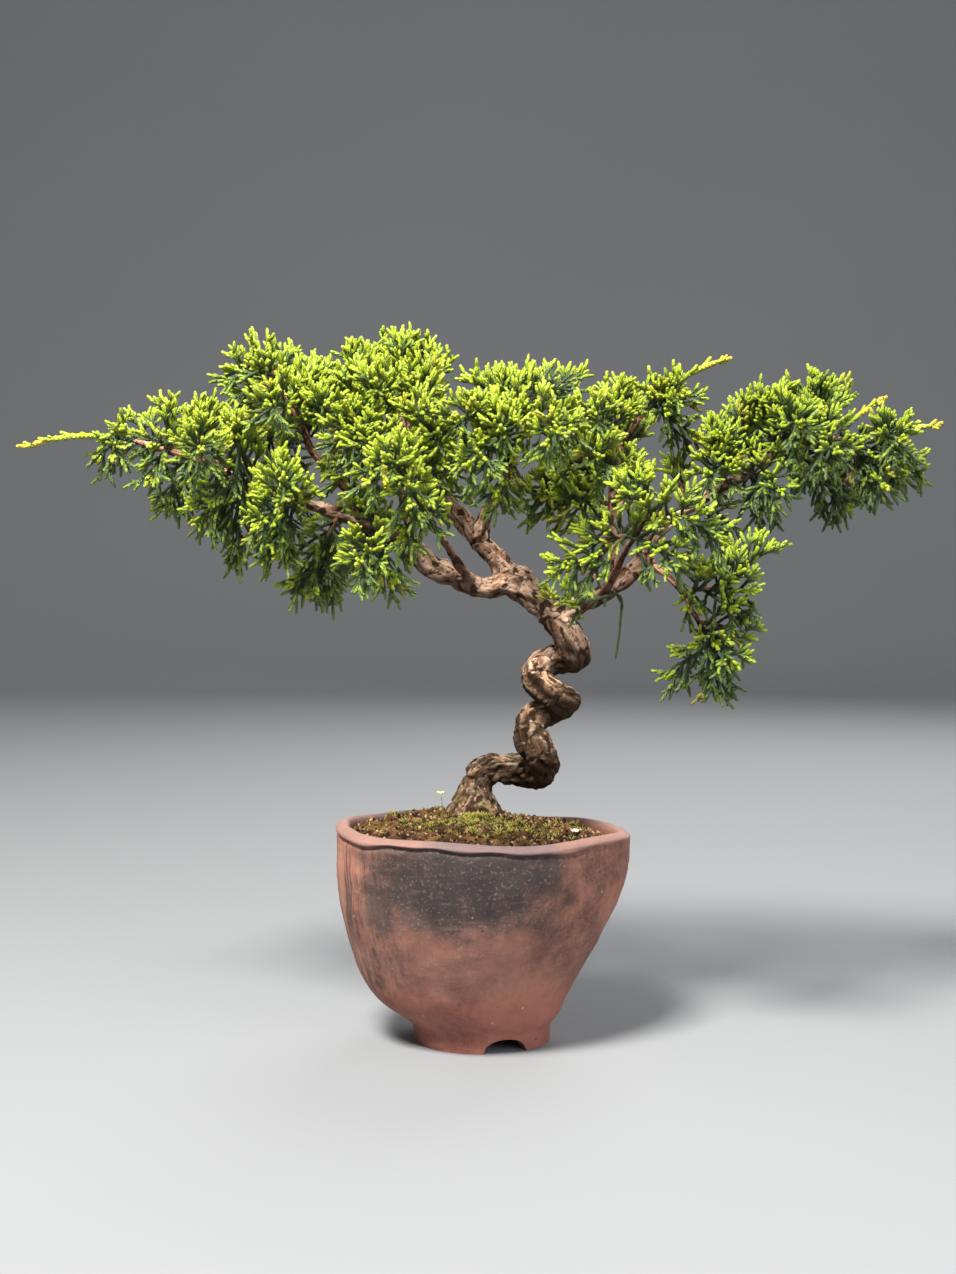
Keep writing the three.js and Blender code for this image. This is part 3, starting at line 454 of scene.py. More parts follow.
# Drain mesh
# A square of black plastic mesh over the drain hole, which keeps the soil in. It lies loose on the
# floor of the pot, under the soil.

black_plastic = Finish("black_plastic", 0.5)
black_plastic.paint(black_plastic.mixed(black_plastic.grain(200), (24, 25, 25), (44, 45, 45)))
black_plastic.relief([(black_plastic.grain(900), 0.03)])
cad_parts["drain_mesh"].material_slots[0].material = black_plastic.material


# Soil
# A loose mix of baked clay grains and crumbled bark, pressed in up to just under the lip and mounded
# towards the trunk. Some chips are pale, and it is darker where it stays damp.

SOIL_EDGE = 64
SOIL_CROWN = 71
SOIL_RADIUS = 41.0
SOIL_SIDES = 150
SOIL_RINGS = 58
RING_CROWDING = 0.9
SKIRT_SHARE = 0.97
SKIRT_DEPTH = 6
SOIL_UNDERSIDE = 58
# Slow waves of the surface: height, phase a millimetre in X and in Y
CRUMB_WAVES = [(0.3, 0.83, 0.52), (0.27, -0.46, 0.77), (0.2, 1.9, -1.3), (0.16, 0.7, 2.1)]
# Crumbs from coarse to fine: how fine, how high, and where the noise starts
CRUMBS = [(0.36, 1.5, (2, 2, 2)), (0.8, 0.8, (0, 0, 0)), (2.1, 0.45, (5, 5, 5))]
GRAIN_COUNT = 2500
GRAIN_SIZE = (0.3, 0.85)
GRAIN_SHAPE = (1, 0.75, 0.6)
CHIP_COUNT = 150
CHIP_SIZE = (0.3, 0.95)
CHIP_SHAPE = (1.1, 0.6, 0.45)


def soil_height(x, y):
    """The mound of the soil with its slow waves, which calm down at the edge."""
    share = np.minimum(1, np.hypot(x, y) / SOIL_RADIUS)
    mound = SOIL_EDGE + (SOIL_CROWN - SOIL_EDGE) * (1 - share ** 2.2)
    calm = np.minimum(1, (1 - share) * 6 + 0.25)
    return mound + calm * sum(size * np.sin(a * x + b * y) for size, a, b in CRUMB_WAVES)


def crumbled(x, y):
    """How far the crumbs stand out of the mound."""
    return sum(bumps((x, y, 0), *crumb) for crumb in CRUMBS)


soil_radii = [SOIL_RADIUS * (ring / SOIL_RINGS) ** RING_CROWDING for ring in range(SOIL_RINGS, 0, -1)]
soil_points, soil_faces = turned([(radius, POT_HEIGHT) for radius in soil_radii], SOIL_SIDES)
soil_points[:, 2] = soil_height(soil_points[:, 0], soil_points[:, 1])
stands = [crumbled(x, y) for x, y, _ in soil_points]
soil_points[:, 2] += stands
skirt = soil_points[:SOIL_SIDES] * (SKIRT_SHARE, SKIRT_SHARE, 1) - (0, 0, SKIRT_DEPTH)
middle = len(soil_points)
soil_points = np.vstack([soil_points, [(0, 0, SOIL_CROWN)], skirt, [(0, 0, SOIL_UNDERSIDE)]])
bottom = middle + 1
for j in range(SOIL_SIDES):
    k = (j + 1) % SOIL_SIDES
    innermost = middle - SOIL_SIDES
    soil_faces.append((innermost + j, innermost + k, middle))
    soil_faces.append((j, bottom + j, bottom + k, k))
    soil_faces.append((bottom + k, bottom + j, bottom + SOIL_SIDES))


def turn_matrix(random_source):
    angles = [random_source.uniform(0, 2 * math.pi) for _ in range(3)]
    (ca, sa), (cb, sb), (cc, sc) = [(math.cos(a), math.sin(a)) for a in angles]
    about_z = np.array([[ca, -sa, 0], [sa, ca, 0], [0, 0, 1]])
    about_y = np.array([[cb, 0, sb], [0, 1, 0], [-sb, 0, cb]])
    about_x = np.array([[1, 0, 0], [0, cc, -sc], [0, sc, cc]])
    return about_z @ about_y @ about_x


ball = [(0, 0, 1)] + [(math.sin(e) * math.cos(a), math.sin(e) * math.sin(a), math.cos(e))
                      for e, start in ((1.107, 0), (2.034, math.pi / 5))
                      for a in np.arange(5) * 2 * math.pi / 5 + start] + [(0, 0, -1)]
ball = np.array(ball)
ball_faces = [(0, 1 + j, 1 + (j + 1) % 5) for j in range(5)]
ball_faces += [(1 + j, 6 + j, 1 + (j + 1) % 5) for j in range(5)]
ball_faces += [(1 + (j + 1) % 5, 6 + j, 6 + (j + 1) % 5) for j in range(5)]
ball_faces += [(11, 6 + (j + 1) % 5, 6 + j) for j in range(5)]
ball_faces = np.array(ball_faces)

# The soil surface is painted darker where it lies low between the crumbs: painted shade in the gaps. The
# middle and the skirt get one dark tone, grains a tone at random and chips a pale one.
soil_tone_and_shade = [min(0.5, max(0, 0.25 + 0.3 * stand)) for stand in stands] + [0.2] * (SOIL_SIDES + 2)
soil_random = random.Random(11)
grain_points, grain_faces = [soil_points], list(soil_faces)
grain_total = len(soil_points)
for i in range(GRAIN_COUNT + CHIP_COUNT):
    is_chip = i >= GRAIN_COUNT
    radius = (SOIL_RADIUS - 0.8) * math.sqrt(soil_random.random())
    turn = soil_random.uniform(0, 2 * math.pi)
    x, y = radius * math.cos(turn), radius * math.sin(turn)
    size = soil_random.uniform(*(CHIP_SIZE if is_chip else GRAIN_SIZE))
    shape = ball * [[size * soil_random.uniform(0.7, 1.25)] for _ in ball]
    shape = shape * (CHIP_SHAPE if is_chip else GRAIN_SHAPE)
    shape = shape @ turn_matrix(soil_random).T
    shape += (x, y, soil_height(x, y) + crumbled(x, y) + 0.15 * size)
    grain_points.append(shape)
    grain_faces.extend((ball_faces + grain_total).tolist())
    grain_total += len(ball)
    tone = soil_random.random() ** 1.1
    soil_tone_and_shade.extend([tone if not is_chip else 0.6 + 0.4 * soil_random.random()] * len(ball))

earth = Finish("crumbly_soil", 0.95, 0.1)
tone = earth.noted("tone")
# Dark to mid brown by tone, which on the surface is painted shade between the crumbs
earth.paint(earth.mixed(earth.step(tone, 0.05, 0.6), (20, 13, 8), (104, 73, 46)))
earth.coat((170, 140, 106), earth.step(tone, 0.6, 1.0))
mossy = earth.step(earth.grain(90, detail=3), 0.5, 0.66)
earth.coat((104, 90, 38), mossy, 0.5)
damp = earth.step(earth.grain(140), 0.48, 0.66)
earth.coat((36, 22, 14), damp, 0.6)
shaded = earth.near((6, -22, 70), (26, 16, 20), 1.0)
earth.coat((30, 18, 9), shaded, 0.45)
earth.relief([(earth.grain(1500, detail=5), 0.35)])

soil = add_piece("soil_crumbs", hand_formed(np.vstack(grain_points)), grain_faces, earth, smooth=False)
note(soil.data, "tone", soil_tone_and_shade)
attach(soil, "root")
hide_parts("soil")


# Moss
# Low cushions of moss in front of the trunk's foot and here and there on the soil: hundreds of tiny
# upright shoots, each a star of pointed leaves.

# Middle of each patch, how far it spreads in X and Y, and how many shoots it has
MOSS_PATCHES = [(-16, -19, 6, 4, 90), (-3, -16, 9, 5, 330), (8, -17, 9, 6, 300), (19, -23, 8, 5, 70),
                (-22, -12, 8, 5, 70), (-4, -27, 14, 5, 90), (-12, 9, 9, 5, 110), (10, 8, 8, 6, 90),
                (28, 2, 7, 9, 80), (-28, 4, 6, 8, 60), (0, -11, 10, 3, 200)]
MOSS_SPREAD = 0.5
LEAVES_A_SHOOT = 5

moss_random = random.Random(21)
moss_points, moss_faces, moss_light_and_shade = [], [], []
for centre_x, centre_y, wide, deep, count in MOSS_PATCHES:
    for _ in range(count):
        x = centre_x + wide * moss_random.gauss(0, MOSS_SPREAD)
        y = centre_y + deep * moss_random.gauss(0, MOSS_SPREAD)
        if math.hypot(x, y) > SOIL_RADIUS - 2:
            continue
        clump = noise.noise(Vector((x, y, 0)) * 0.42)
        if clump < -0.08:
            continue
        away = math.hypot((x - centre_x) / wide, (y - centre_y) / deep)
        tall = max(0.5, 1.4 - 0.7 * away + 2 * clump) * moss_random.uniform(0.6, 1.3)
        root = np.array([x, y, soil_height(x, y) + crumbled(x, y) - 0.3])
        lightness = min(1, max(0, 0.3 + 1.5 * clump + moss_random.uniform(-0.4, 0.4)))
        for leaf in range(LEAVES_A_SHOOT):
            turn = leaf * 2.4 + moss_random.random()
            lean = 0.3 + 0.9 * leaf / LEAVES_A_SHOOT
            way = np.array([math.cos(turn) * lean, math.sin(turn) * lean, 1])
            across = np.array([-math.sin(turn), math.cos(turn), 0]) * 0.32
            tip = root + way * tall * (1.15 - 0.35 * lean)
            inward = root + (0, 0, 0.35 * tall) - way * (0.25, 0.25, 0)
            first = len(moss_points)
            moss_points.extend([root - across, root + across, inward, tip])
            moss_faces.extend([(first, first + 1, first + 3), (first + 1, first + 2, first + 3),
                               (first + 2, first, first + 3), (first, first + 2, first + 1)])
            # Each leaf is dark at its foot and light at its tip, and lighter on taller clumps: painted
            # shade where the shoots crowd and painted light on the tall tops, over the paler tips the moss
            # has.
            moss_light_and_shade.extend([0.1 * lightness] * 3 + [0.4 + 0.6 * lightness])

moss_green = Finish("moss_green", 0.8)
moss_shade = moss_green.worked("MULTIPLY_ADD", moss_green.grain(200), 0.3, moss_green.noted("tone"))
moss_green.paint(moss_green.mixed(moss_green.step(moss_shade, 0.22, 0.85), (22, 20, 6), (124, 116, 34)))
moss_green.coat((212, 200, 102), moss_green.step(moss_shade, 0.8, 1.25))
moss_green.relief([(moss_green.grain(1500), 0.05)])
moss = add_piece("moss", hand_formed(np.array(moss_points)), moss_faces, moss_green, smooth=False)
note(moss.data, "tone", moss_light_and_shade)
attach(moss, "root")


# Pebble
# One worn, pale pebble, a little flattened. It came with the soil, and lies half sunk in it at the
# right front.

PEBBLE_PLACE = (29, -12)
PEBBLE_SIZE = (1.5, 1.2, 0.9)
PEBBLE_TURN = 0.5
PEBBLE_RISE = 0.3


def round_body(rings, sides):
    """A ball of radius 1 from rings of points."""
    tilts = np.linspace(0.001, math.pi - 0.001, rings)
    return turned([(math.sin(tilt), math.cos(tilt)) for tilt in tilts], sides)


pebble_points, pebble_faces = round_body(19, 28)
pebble_points *= [[1 + bumps(point, 1.3, 0.16)] for point in pebble_points]
cosine, sine = math.cos(PEBBLE_TURN), math.sin(PEBBLE_TURN)
pebble_points = pebble_points * PEBBLE_SIZE @ np.array([[cosine, sine, 0], [-sine, cosine, 0], [0, 0, 1]])
pebble_points += (*PEBBLE_PLACE, soil_height(*PEBBLE_PLACE) + PEBBLE_RISE)
worn_stone = Finish("worn_stone", 0.7)
worn_stone.paint(worn_stone.mixed(worn_stone.grain(500), (162, 156, 132), (198, 192, 168)))
worn_stone.relief([(worn_stone.grain(1600), 0.06)])
pebble = add_piece("pebble_stone", pebble_points, [face[::-1] for face in pebble_faces], worn_stone)
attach(pebble, "root")
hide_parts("pebble")


# Seedling
# A seedling that came up by itself left of the trunk: a hair-thin stem, rooted in the soil, with
# two pale seed leaves.

SEEDLING_FOOT = (-12.8, -10)
SEEDLING_TOP = (-12.9, -10.4, 79.4)
STEM_RADIUS = 0.1
STEM_RINGS = 12
STEM_SIDES = 6
SEED_LEAF = (0.75, 0.6, 0.4)

foot = np.array([*SEEDLING_FOOT, soil_height(*SEEDLING_FOOT) - 1])
top = np.array(SEEDLING_TOP)
seedling_points, seedling_faces = [], ring_faces(STEM_RINGS, STEM_SIDES)
for share in np.linspace(0, 1, STEM_RINGS):
    centre = foot + (top - foot) * share + (0.5 * math.sin(math.pi * share), 0, 0)
    seedling_points.extend([centre + STEM_RADIUS * np.array([math.cos(a), math.sin(a), 0])
                            for a in np.arange(STEM_SIDES) * 2 * math.pi / STEM_SIDES])
top_ring = range((STEM_RINGS - 1) * STEM_SIDES, STEM_RINGS * STEM_SIDES)
seedling_faces.extend([tuple(reversed(range(STEM_SIDES))), tuple(top_ring)])
for side in (-1, 1):
    leaf_points, leaf_faces = round_body(9, 12)
    first = len(seedling_points)
    leaf_points = leaf_points * SEED_LEAF
    leaf_points += (side * 0.45, 0, 0)
    leaf_points[:, 2] += 0.35 * np.abs(leaf_points[:, 0])
    seedling_points.extend(leaf_points + top)
    seedling_faces.extend([tuple(first + corner for corner in face[::-1]) for face in leaf_faces])

seedling_green = Finish("seedling_green", 0.5)
seedling_green.paint(seedling_green.mixed(seedling_green.grain(700), (196, 208, 110), (232, 238, 150)))
seedling_green.coat((98, 96, 62), seedling_green.step(seedling_green.part("Z"), 0.0788, 0.0782))
seedling_green.relief([(seedling_green.grain(900), 0.03)])
seedling = add_piece("seedling", seedling_points, seedling_faces, seedling_green)
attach(seedling, "root")


# Trunk and branches
# Old juniper wood that was wired into a corkscrew when young. Its grey-brown bark flakes off in long
# strips, with dark furrows between them. It grew as one piece from the root flare to the twigs.

# Each turn of the trunk and each branch: the points it passes, then radii spaced evenly along it
TRUNK_TURNS = [
    ([(-2.5, 0, 59.8), (-2.5, 0, 72), (-2.2, 1, 79), (0.6, 2, 84.5), (7.4, 4, 85.1), (15.3, 4, 84.8),
      (19.9, -1, 86.4), (17.9, -5.5, 91.8), (14.8, -3, 97.5)],
     [5.3, 5.1, 4.5, 4.8, 5.1]),
    ([(17.9, -5.5, 91.8), (14.8, -3, 97.5), (17.2, 3, 102.1), (22.4, 6, 104), (25.7, 1, 107), (22, -5, 110),
      (17, -3, 114.2)],
     [5.1, 4.9, 5.2, 5.0]),
    ([(22, -5, 110), (17, -3, 114.2), (19.4, 3, 118.9), (24.9, 6, 120.7), (29.5, 1, 121.9), (27, -4, 128.5),
      (22, -3, 135.3), (16.7, -1, 140.3), (11.7, 0, 144.7), (8.5, 0, 146.2)],
     [5.0, 4.9, 5.3, 4.9, 4.6]),
]
BRANCHES = {
    "left": ([(12, 0, 144), (7, -1, 145), (2, -2, 143), (-3, -3, 144), (-9, -4, 147), (-16, -5, 150),
              (-21, -5, 155), (-26, -4, 159), (-34, -4, 163), (-43, -6, 166), (-53, -9, 169),
              (-65, -12, 172), (-77, -13, 178), (-88, -12, 183), (-98, -10, 186), (-108, -8, 189)],
             [3.8, 3.7, 3.5, 2.4, 1.8, 1.4, 1.0]),
    "mid": ([(13, 0, 144), (7, 1, 149), (4, 2, 153), (0, 2, 157), (-3, 2, 161), (-6, 2, 166), (-10, 3, 170),
             (-13, 5, 174), (-18, 8, 181), (-23, 10, 189), (-26, 12, 198)],
            [4.0, 3.5, 2.6, 2.0, 1.4, 1.0]),
    "mid_fork": ([(-1, 2, 158), (1, -1, 166), (4, -4, 171), (7, -8, 177), (9, -12, 184), (13, -14, 192),
                  (18, -14, 200)],
                 [2.6, 2.2, 1.7, 1.3, 1.0]),
    "right": ([(22, -3, 135), (27, -5, 136), (32, -7, 139), (37, -8, 141), (43, -8, 145), (49, -6, 151),
               (54, -3, 159), (60, 0, 165), (66, 2, 169), (74, 3, 174), (82, 3, 178), (90, 3, 184),
               (99, 2, 188), (109, 0, 190), (120, -2, 188)],
              [3.2, 3.0, 2.5, 2.0, 1.7, 1.4, 1.0]),
    "riser": ([(41, -8, 144), (41, -6, 150), (41, -3, 160), (41, 0, 169), (42, 3, 179), (44, 5, 187),
               (49, 6, 195), (55, 6, 203)],
              [1.8, 1.6, 1.3, 0.9]),
    "drop": ([(51, -5, 154), (53, -14, 150), (57, -20, 147), (61, -24, 142), (64, -26, 136),
              (68, -27, 129)],
             [1.5, 1.2, 0.9]),
    "back_left": ([(4, 2, 153), (-1, 12, 157), (-7, 24, 163), (-12, 36, 170), (-19, 45, 179),
                   (-24, 50, 188)],
                  [2.4, 1.8, 1.3, 0.9]),
    "back_right": ([(25, -3, 131), (28, 8, 138), (34, 20, 144), (39, 32, 152), (44, 42, 162),
                    (48, 48, 172)],
                   [2.6, 1.9, 1.4, 0.9]),
    "front": ([(-3, -3, 144), (-8, -18, 152), (-13, -30, 160), (-17, -38, 167), (-21, -42, 173)],
              [1.8, 1.3, 0.9]),
    "top_left": ([(-34, -4, 163), (-41, -6, 172), (-47, -8, 179), (-53, -9, 186), (-56, -10, 194),
                  (-60, -10, 201), (-63, -9, 206)],
                 [1.6, 1.3, 0.9]),
    "upright": ([(-22, -5, 156), (-23, -2, 163), (-25, 2, 172), (-28, 6, 181), (-31, 8, 189)],
                [2.0, 1.5, 1.0]),
    "front_right": ([(37, -8, 141), (40, -20, 147), (43, -30, 155), (47, -36, 162), (49, -38, 168)],
                    [1.6, 1.2, 0.9]),
}
TRUNK_FOOT = (-2.5, 0, 0)
TRUNK_SIDES = 22
BRANCH_SIDES = 14
ROOT_SIDES = 10
WOOD_STEP = 1.1
ROOT_RADIUS = 9.6
ROOT_FLARE = 69
ROOT_TOP = 82
# Each root: its direction, how far it spreads and its radius
ROOTS = [(3.5, 5.0, 2.4), (2.95, 6.5, 2.3), (4.3, 6.0, 2.0), (5.4, 6.5, 2.5), (0.4, 5.5, 2.2),
         (1.6, 4.5, 2.0), (2.5, 4.5, 2.2)]
# The way of a root: how far out, how much of its own spread is added, and how high
ROOT_WAY = [(3.2, 0, 79), (5.6, 0, 74.5), (3, 1, 70), (4.5, 1, 66)]
WOOD_VOXEL = 0.55
OLD_WOOD = 4.2
# Forms of the bark: how fine across the wood, how fine along it, and where the noise starts
RIBS = (0.3, 0.07, (0, 0, 0))
LUMPS = (0.34, 0.26, (4, 4, 4))
SPLITS = (0.42, 0.1, (7, 2, 4))
PLATES = (0.6, 0.3, (1, 9, 3))
PITS = (0.5, 0.34, (8, 3, 3))
FUZZ = (1.6, 0.8, (0, 0, 0))


def point_on(route, share):
    """A point of the smooth line through a route, at a share of its points."""
    points = np.asarray(route, dtype=float)
    place = share * (len(points) - 1)
    i = min(int(place), len(points) - 2)
    t = place - i
    p1, p2 = points[i], points[i + 1]
    p0 = points[i - 1] if i > 0 else 2 * p1 - p2
    p3 = points[i + 2] if i + 2 < len(points) else 2 * p2 - p1
    d0, d1, d2 = [math.sqrt(math.dist(a, b)) for a, b in ((p0, p1), (p1, p2), (p2, p3))]
    start = ((p1 - p0) / d0 - (p2 - p0) / (d0 + d1) + (p2 - p1) / d1) * d1
    end = ((p2 - p1) / d1 - (p3 - p1) / (d1 + d2) + (p3 - p2) / d2) * d1
    return ((2 * p1 - 2 * p2 + start + end) * t ** 3 + (-3 * p1 + 3 * p2 - 2 * start - end) * t * t
            + start * t + p1)


def evenly(route, gap):
    """Points a gap apart on the smooth line through a route, and how far along each is."""
    fine = np.array([point_on(route, share) for share in np.linspace(0, 1, 12 * len(route))])
    steps = np.linalg.norm(np.diff(fine, axis=0), axis=1)
    reached = np.concatenate([[0], np.cumsum(steps)])
    places = np.linspace(0, reached[-1], max(3, round(reached[-1] / gap)))
    return np.stack([np.interp(places, reached, fine[:, k]) for k in range(3)], 1), places


def carried_frames(points):
    """Directions along and across a line, turned as little as possible from point to point."""
    along = np.gradient(points, axis=0)
    along /= np.linalg.norm(along, axis=1)[:, None]
    side = np.cross(along[0], (0, 0, 1) if abs(along[0][2]) < 0.9 else (1, 0, 0))
    sides = []
    for way in along:
        side = side - way * np.dot(side, way)
        side = side / np.linalg.norm(side)
        sides.append(side)
    sides = np.array(sides)
    return along, sides, np.cross(along, sides)


def tube(points, radii, sides):
    """Points and faces of a closed round tube along a line."""
    _, left, up = carried_frames(points)
    turns = np.arange(sides) * 2 * math.pi / sides
    ring = np.cos(turns)[None, :, None] * left[:, None] + np.sin(turns)[None, :, None] * up[:, None]
    ends = np.array([points[0], points[-1]])
    body = (points[:, None] + np.asarray(radii)[:, None, None] * ring).reshape(-1, 3)
    faces = ring_faces(len(points), sides)
    first, last = len(body), len(body) + 1
    for j in range(sides):
        k = (j + 1) % sides
        faces.append((first, k, j))
        faces.append((last, len(body) - sides + j, len(body) - sides + k))
    return np.vstack([body, ends]), faces


wood_points, wood_faces, grain_line = [], [], []


def add_wood(line, thick, sides):
    """One solid of wood, and its line for the grain of the bark."""
    points, faces = tube(line, thick, sides)
    first = sum(len(part) for part in wood_points)
    wood_points.append(points)
    wood_faces.extend([tuple(corner + first for corner in face) for face in faces])
    along, left, up = carried_frames(line)
    steps = np.concatenate([[0], np.cumsum(np.linalg.norm(np.diff(line, axis=0), axis=1))])
    if grain_line:
        steps += grain_line[-1][4]
    grain_line.extend(zip(line, along, left, up, steps, thick))


for index, (route, radii) in enumerate(TRUNK_TURNS + list(BRANCHES.values())):
    is_trunk = index < len(TRUNK_TURNS)
    line, places = evenly(route, WOOD_STEP)
    share = places / places[-1]
    thick = np.interp(share, np.linspace(0, 1, len(radii)), radii)
    if is_trunk:
        flare = 1 - smooth_step(line[:, 2], ROOT_FLARE, ROOT_TOP)
        thick = thick + (ROOT_RADIUS - thick) * flare
    else:
        collar = 1 + 0.35 * np.exp(-(places / 5) ** 2)
        knots = 1 + 0.09 * np.sin(places * 0.42 + 3 * index) * np.sin(places * 0.19 + index)
        thick = thick * collar * knots
    add_wood(line, thick, TRUNK_SIDES if is_trunk else BRANCH_SIDES)
for turn, spread, thick in ROOTS:
    way = np.array([math.cos(turn), math.sin(turn), 0])
    outs = [out + more * spread for out, more, _ in ROOT_WAY]
    route = [TRUNK_FOOT + way * out + (0, 0, high) for out, (_, _, high) in zip(outs, ROOT_WAY)]
    line, places = evenly(route, WOOD_STEP)
    add_wood(line, np.linspace(0.8, 1.1, len(line)) * thick, ROOT_SIDES)

bark = Finish("flaking_bark", 0.88, 0.15)
raw_wood = add_piece("raw_wood", np.vstack(wood_points), wood_faces, bark)
remesh = raw_wood.modifiers.new("one_body", "REMESH")
remesh.mode = "VOXEL"
remesh.voxel_size = WOOD_VOXEL * MM
remesh.use_smooth_shade = True
soften = raw_wood.modifiers.new("soften", "SMOOTH")
soften.factor = 0.5
soften.iterations = 6
wood_mesh = bpy.data.meshes.new_from_object(raw_wood.evaluated_get(bpy.context.evaluated_depsgraph_get()))
bpy.data.objects.remove(raw_wood)

wood_tree = kdtree.KDTree(len(grain_line))
for i, (centre, *_) in enumerate(grain_line):
    wood_tree.insert(Vector(centre), i)
wood_tree.balance()


def bark_form(grain, across, along, start):
    """Noise at a place in the grain."""
    return noise.noise(Vector((grain[0] * across, grain[1] * across, grain[2] * along)) + Vector(start))


def bark_shape(place):
    """How far bark at a place stands out, its place in the grain (across, across and along), how
    deep in a crack it is, and how thick the wood is."""
    _, i, _ = wood_tree.find(place)
    centre, along, left, up, reached, thick = grain_line[i]
    away = np.array(place) - centre
    across = np.array([np.dot(away, left), np.dot(away, up)])
    across *= thick / max(1e-6, float(np.linalg.norm(away)))
    grain = (across[0], across[1], reached + float(np.dot(away, along)))
    old = min(1.0, thick / OLD_WOOD)
    rough = 0.3 + 0.7 * smooth_step(-place.z, -102, -84)
    crack = max(0.0, 1 - abs(bark_form(grain, *SPLITS)) * 8)
    edge = bark_form(grain, *PLATES)
    plate = 0.5 + 0.5 * math.tanh(10 * edge)
    pit = max(0.0, -0.18 - bark_form(grain, *PITS))
    out = old * (1.1 * rough * bark_form(grain, *RIBS) + 1.1 * bark_form(grain, *LUMPS) - 0.2
                 + rough * (0.36 * plate - 0.85 * crack - 3.2 * pit))
    out += 0.4 * bark_form(grain, *FUZZ) * rough * (0.4 + 0.6 * old)
    return out, grain, max(crack, 1 - abs(edge) * 12, pit * 6), thick


places = np.empty(len(wood_mesh.vertices) * 3)
wood_mesh.vertices.foreach_get("co", places)
places = places.reshape(-1, 3) / MM
normals = np.empty(len(wood_mesh.vertices) * 3)
wood_mesh.vertices.foreach_get("normal", normals)
stand, grain, crack, thick = zip(*[bark_shape(Vector(place)) for place in places])
places += normals.reshape(-1, 3) * np.array(stand)[:, None]
wood_mesh.vertices.foreach_set("co", (places * MM).ravel())
note(wood_mesh, "grain", grain, "FLOAT_VECTOR")
note(wood_mesh, "crack", crack)
note(wood_mesh, "stand", stand)
note(wood_mesh, "thick", thick)
wood_mesh.polygons.foreach_set("use_smooth", [True] * len(wood_mesh.polygons))
wood_mesh.materials.clear()
wood_mesh.materials.append(bark.material)

# Strips along the grain, warm and pale on the young wood, brown below as older bark with a painted shade of
# the crown over it, reddish on thin twigs
grain_place = bark.noted("grain", "Vector")
height = bark.part("Z")
strip = bark.grain((0.5, 0.5, 0.13), grain_place, detail=7, roughness=0.62)
young = bark.mixed(bark.step(strip, 0.32, 0.64), (142, 96, 68), (255, 214, 182))
aged_and_shaded = bark.mixed(bark.step(strip, 0.34, 0.66), (76, 48, 28), (212, 170, 134))
# Below this height the bark is painted browner and darker: older bark, and painted shade of the crown
is_aged_and_shaded = bark.step(height, 0.122, 0.112)
bark.paint(bark.mixed(is_aged_and_shaded, young, aged_and_shaded))
thin = bark.step(bark.noted("thick"), 2.3, 1.3)
bark.coat(bark.mixed(bark.step(strip, 0.34, 0.66), (104, 66, 50), (204, 150, 124)), thin)
bark.coat((150, 96, 66), bark.step(bark.grain(70, detail=4), 0.48, 0.64), 0.4)

# Peeled patches, and on the lower trunk lichen, soot and algae
peeled = bark.step(bark.grain((0.4, 0.4, 0.2), grain_place, detail=5), 0.56, 0.62)
peeled_tint = bark.mixed(is_aged_and_shaded, (242, 212, 188), (196, 168, 146))
bark.coat(peeled_tint, peeled, bark.worked("MULTIPLY_ADD", thin, -0.4, 0.6))
low = bark.step(height, 0.112, 0.084)
lichen = bark.step(bark.grain((0.5, 0.5, 0.24), grain_place, detail=5), 0.5, 0.56)
bark.coat((164, 146, 122), bark.times(lichen, low), 0.85)
sooty = bark.step(bark.grain((0.45, 0.45, 0.2), grain_place, detail=6), 0.49, 0.42)
bark.coat((62, 50, 36), bark.times(sooty, low), 0.7)
algae = bark.step(bark.grain(170, detail=4), 0.42, 0.56)
bark.coat((94, 86, 42), bark.times(algae, bark.step(height, 0.088, 0.072)), 0.75)

# Painted shade in the furrows and hollows, on the undersides, and on the steep faces of the lower trunk
hollow_shade = bark.times(bark.step(bark.noted("stand"), -0.3, -1.3), 0.88)
furrow_shade = bark.times(bark.step(bark.noted("crack"), 0.25, 0.9), 0.9)
bark.coat((36, 20, 11), bark.worked("MAXIMUM", furrow_shade, hollow_shade))
# Painted shade on the undersides
bark.coat((42, 24, 13), bark.facing_down(0.3, -0.6), 0.85)
# Painted shade on the faces of the lower trunk that don't face up
steep_side_shade = bark.times(bark.facing_down(0.8, 0.35), bark.step(height, 0.126, 0.118))
bark.coat((44, 30, 18), steep_side_shade, 0.75)
fibre = bark.grain((2.2, 2.2, 0.5), grain_place, detail=5, roughness=0.7)
bark.relief([(fibre, 0.4), (strip, 0.6)])

trunk = bpy.data.objects.new("trunk_bark", wood_mesh)
bpy.context.scene.collection.objects.link(trunk)
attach(trunk, "root")
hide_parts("trunk")


# Green sprays
# Twigs that branch again and again into cords clothed in small scale leaves. The newest ends are
# blunt and yellow-green, and the older cords behind them thin and dark. Each spray is one piece.

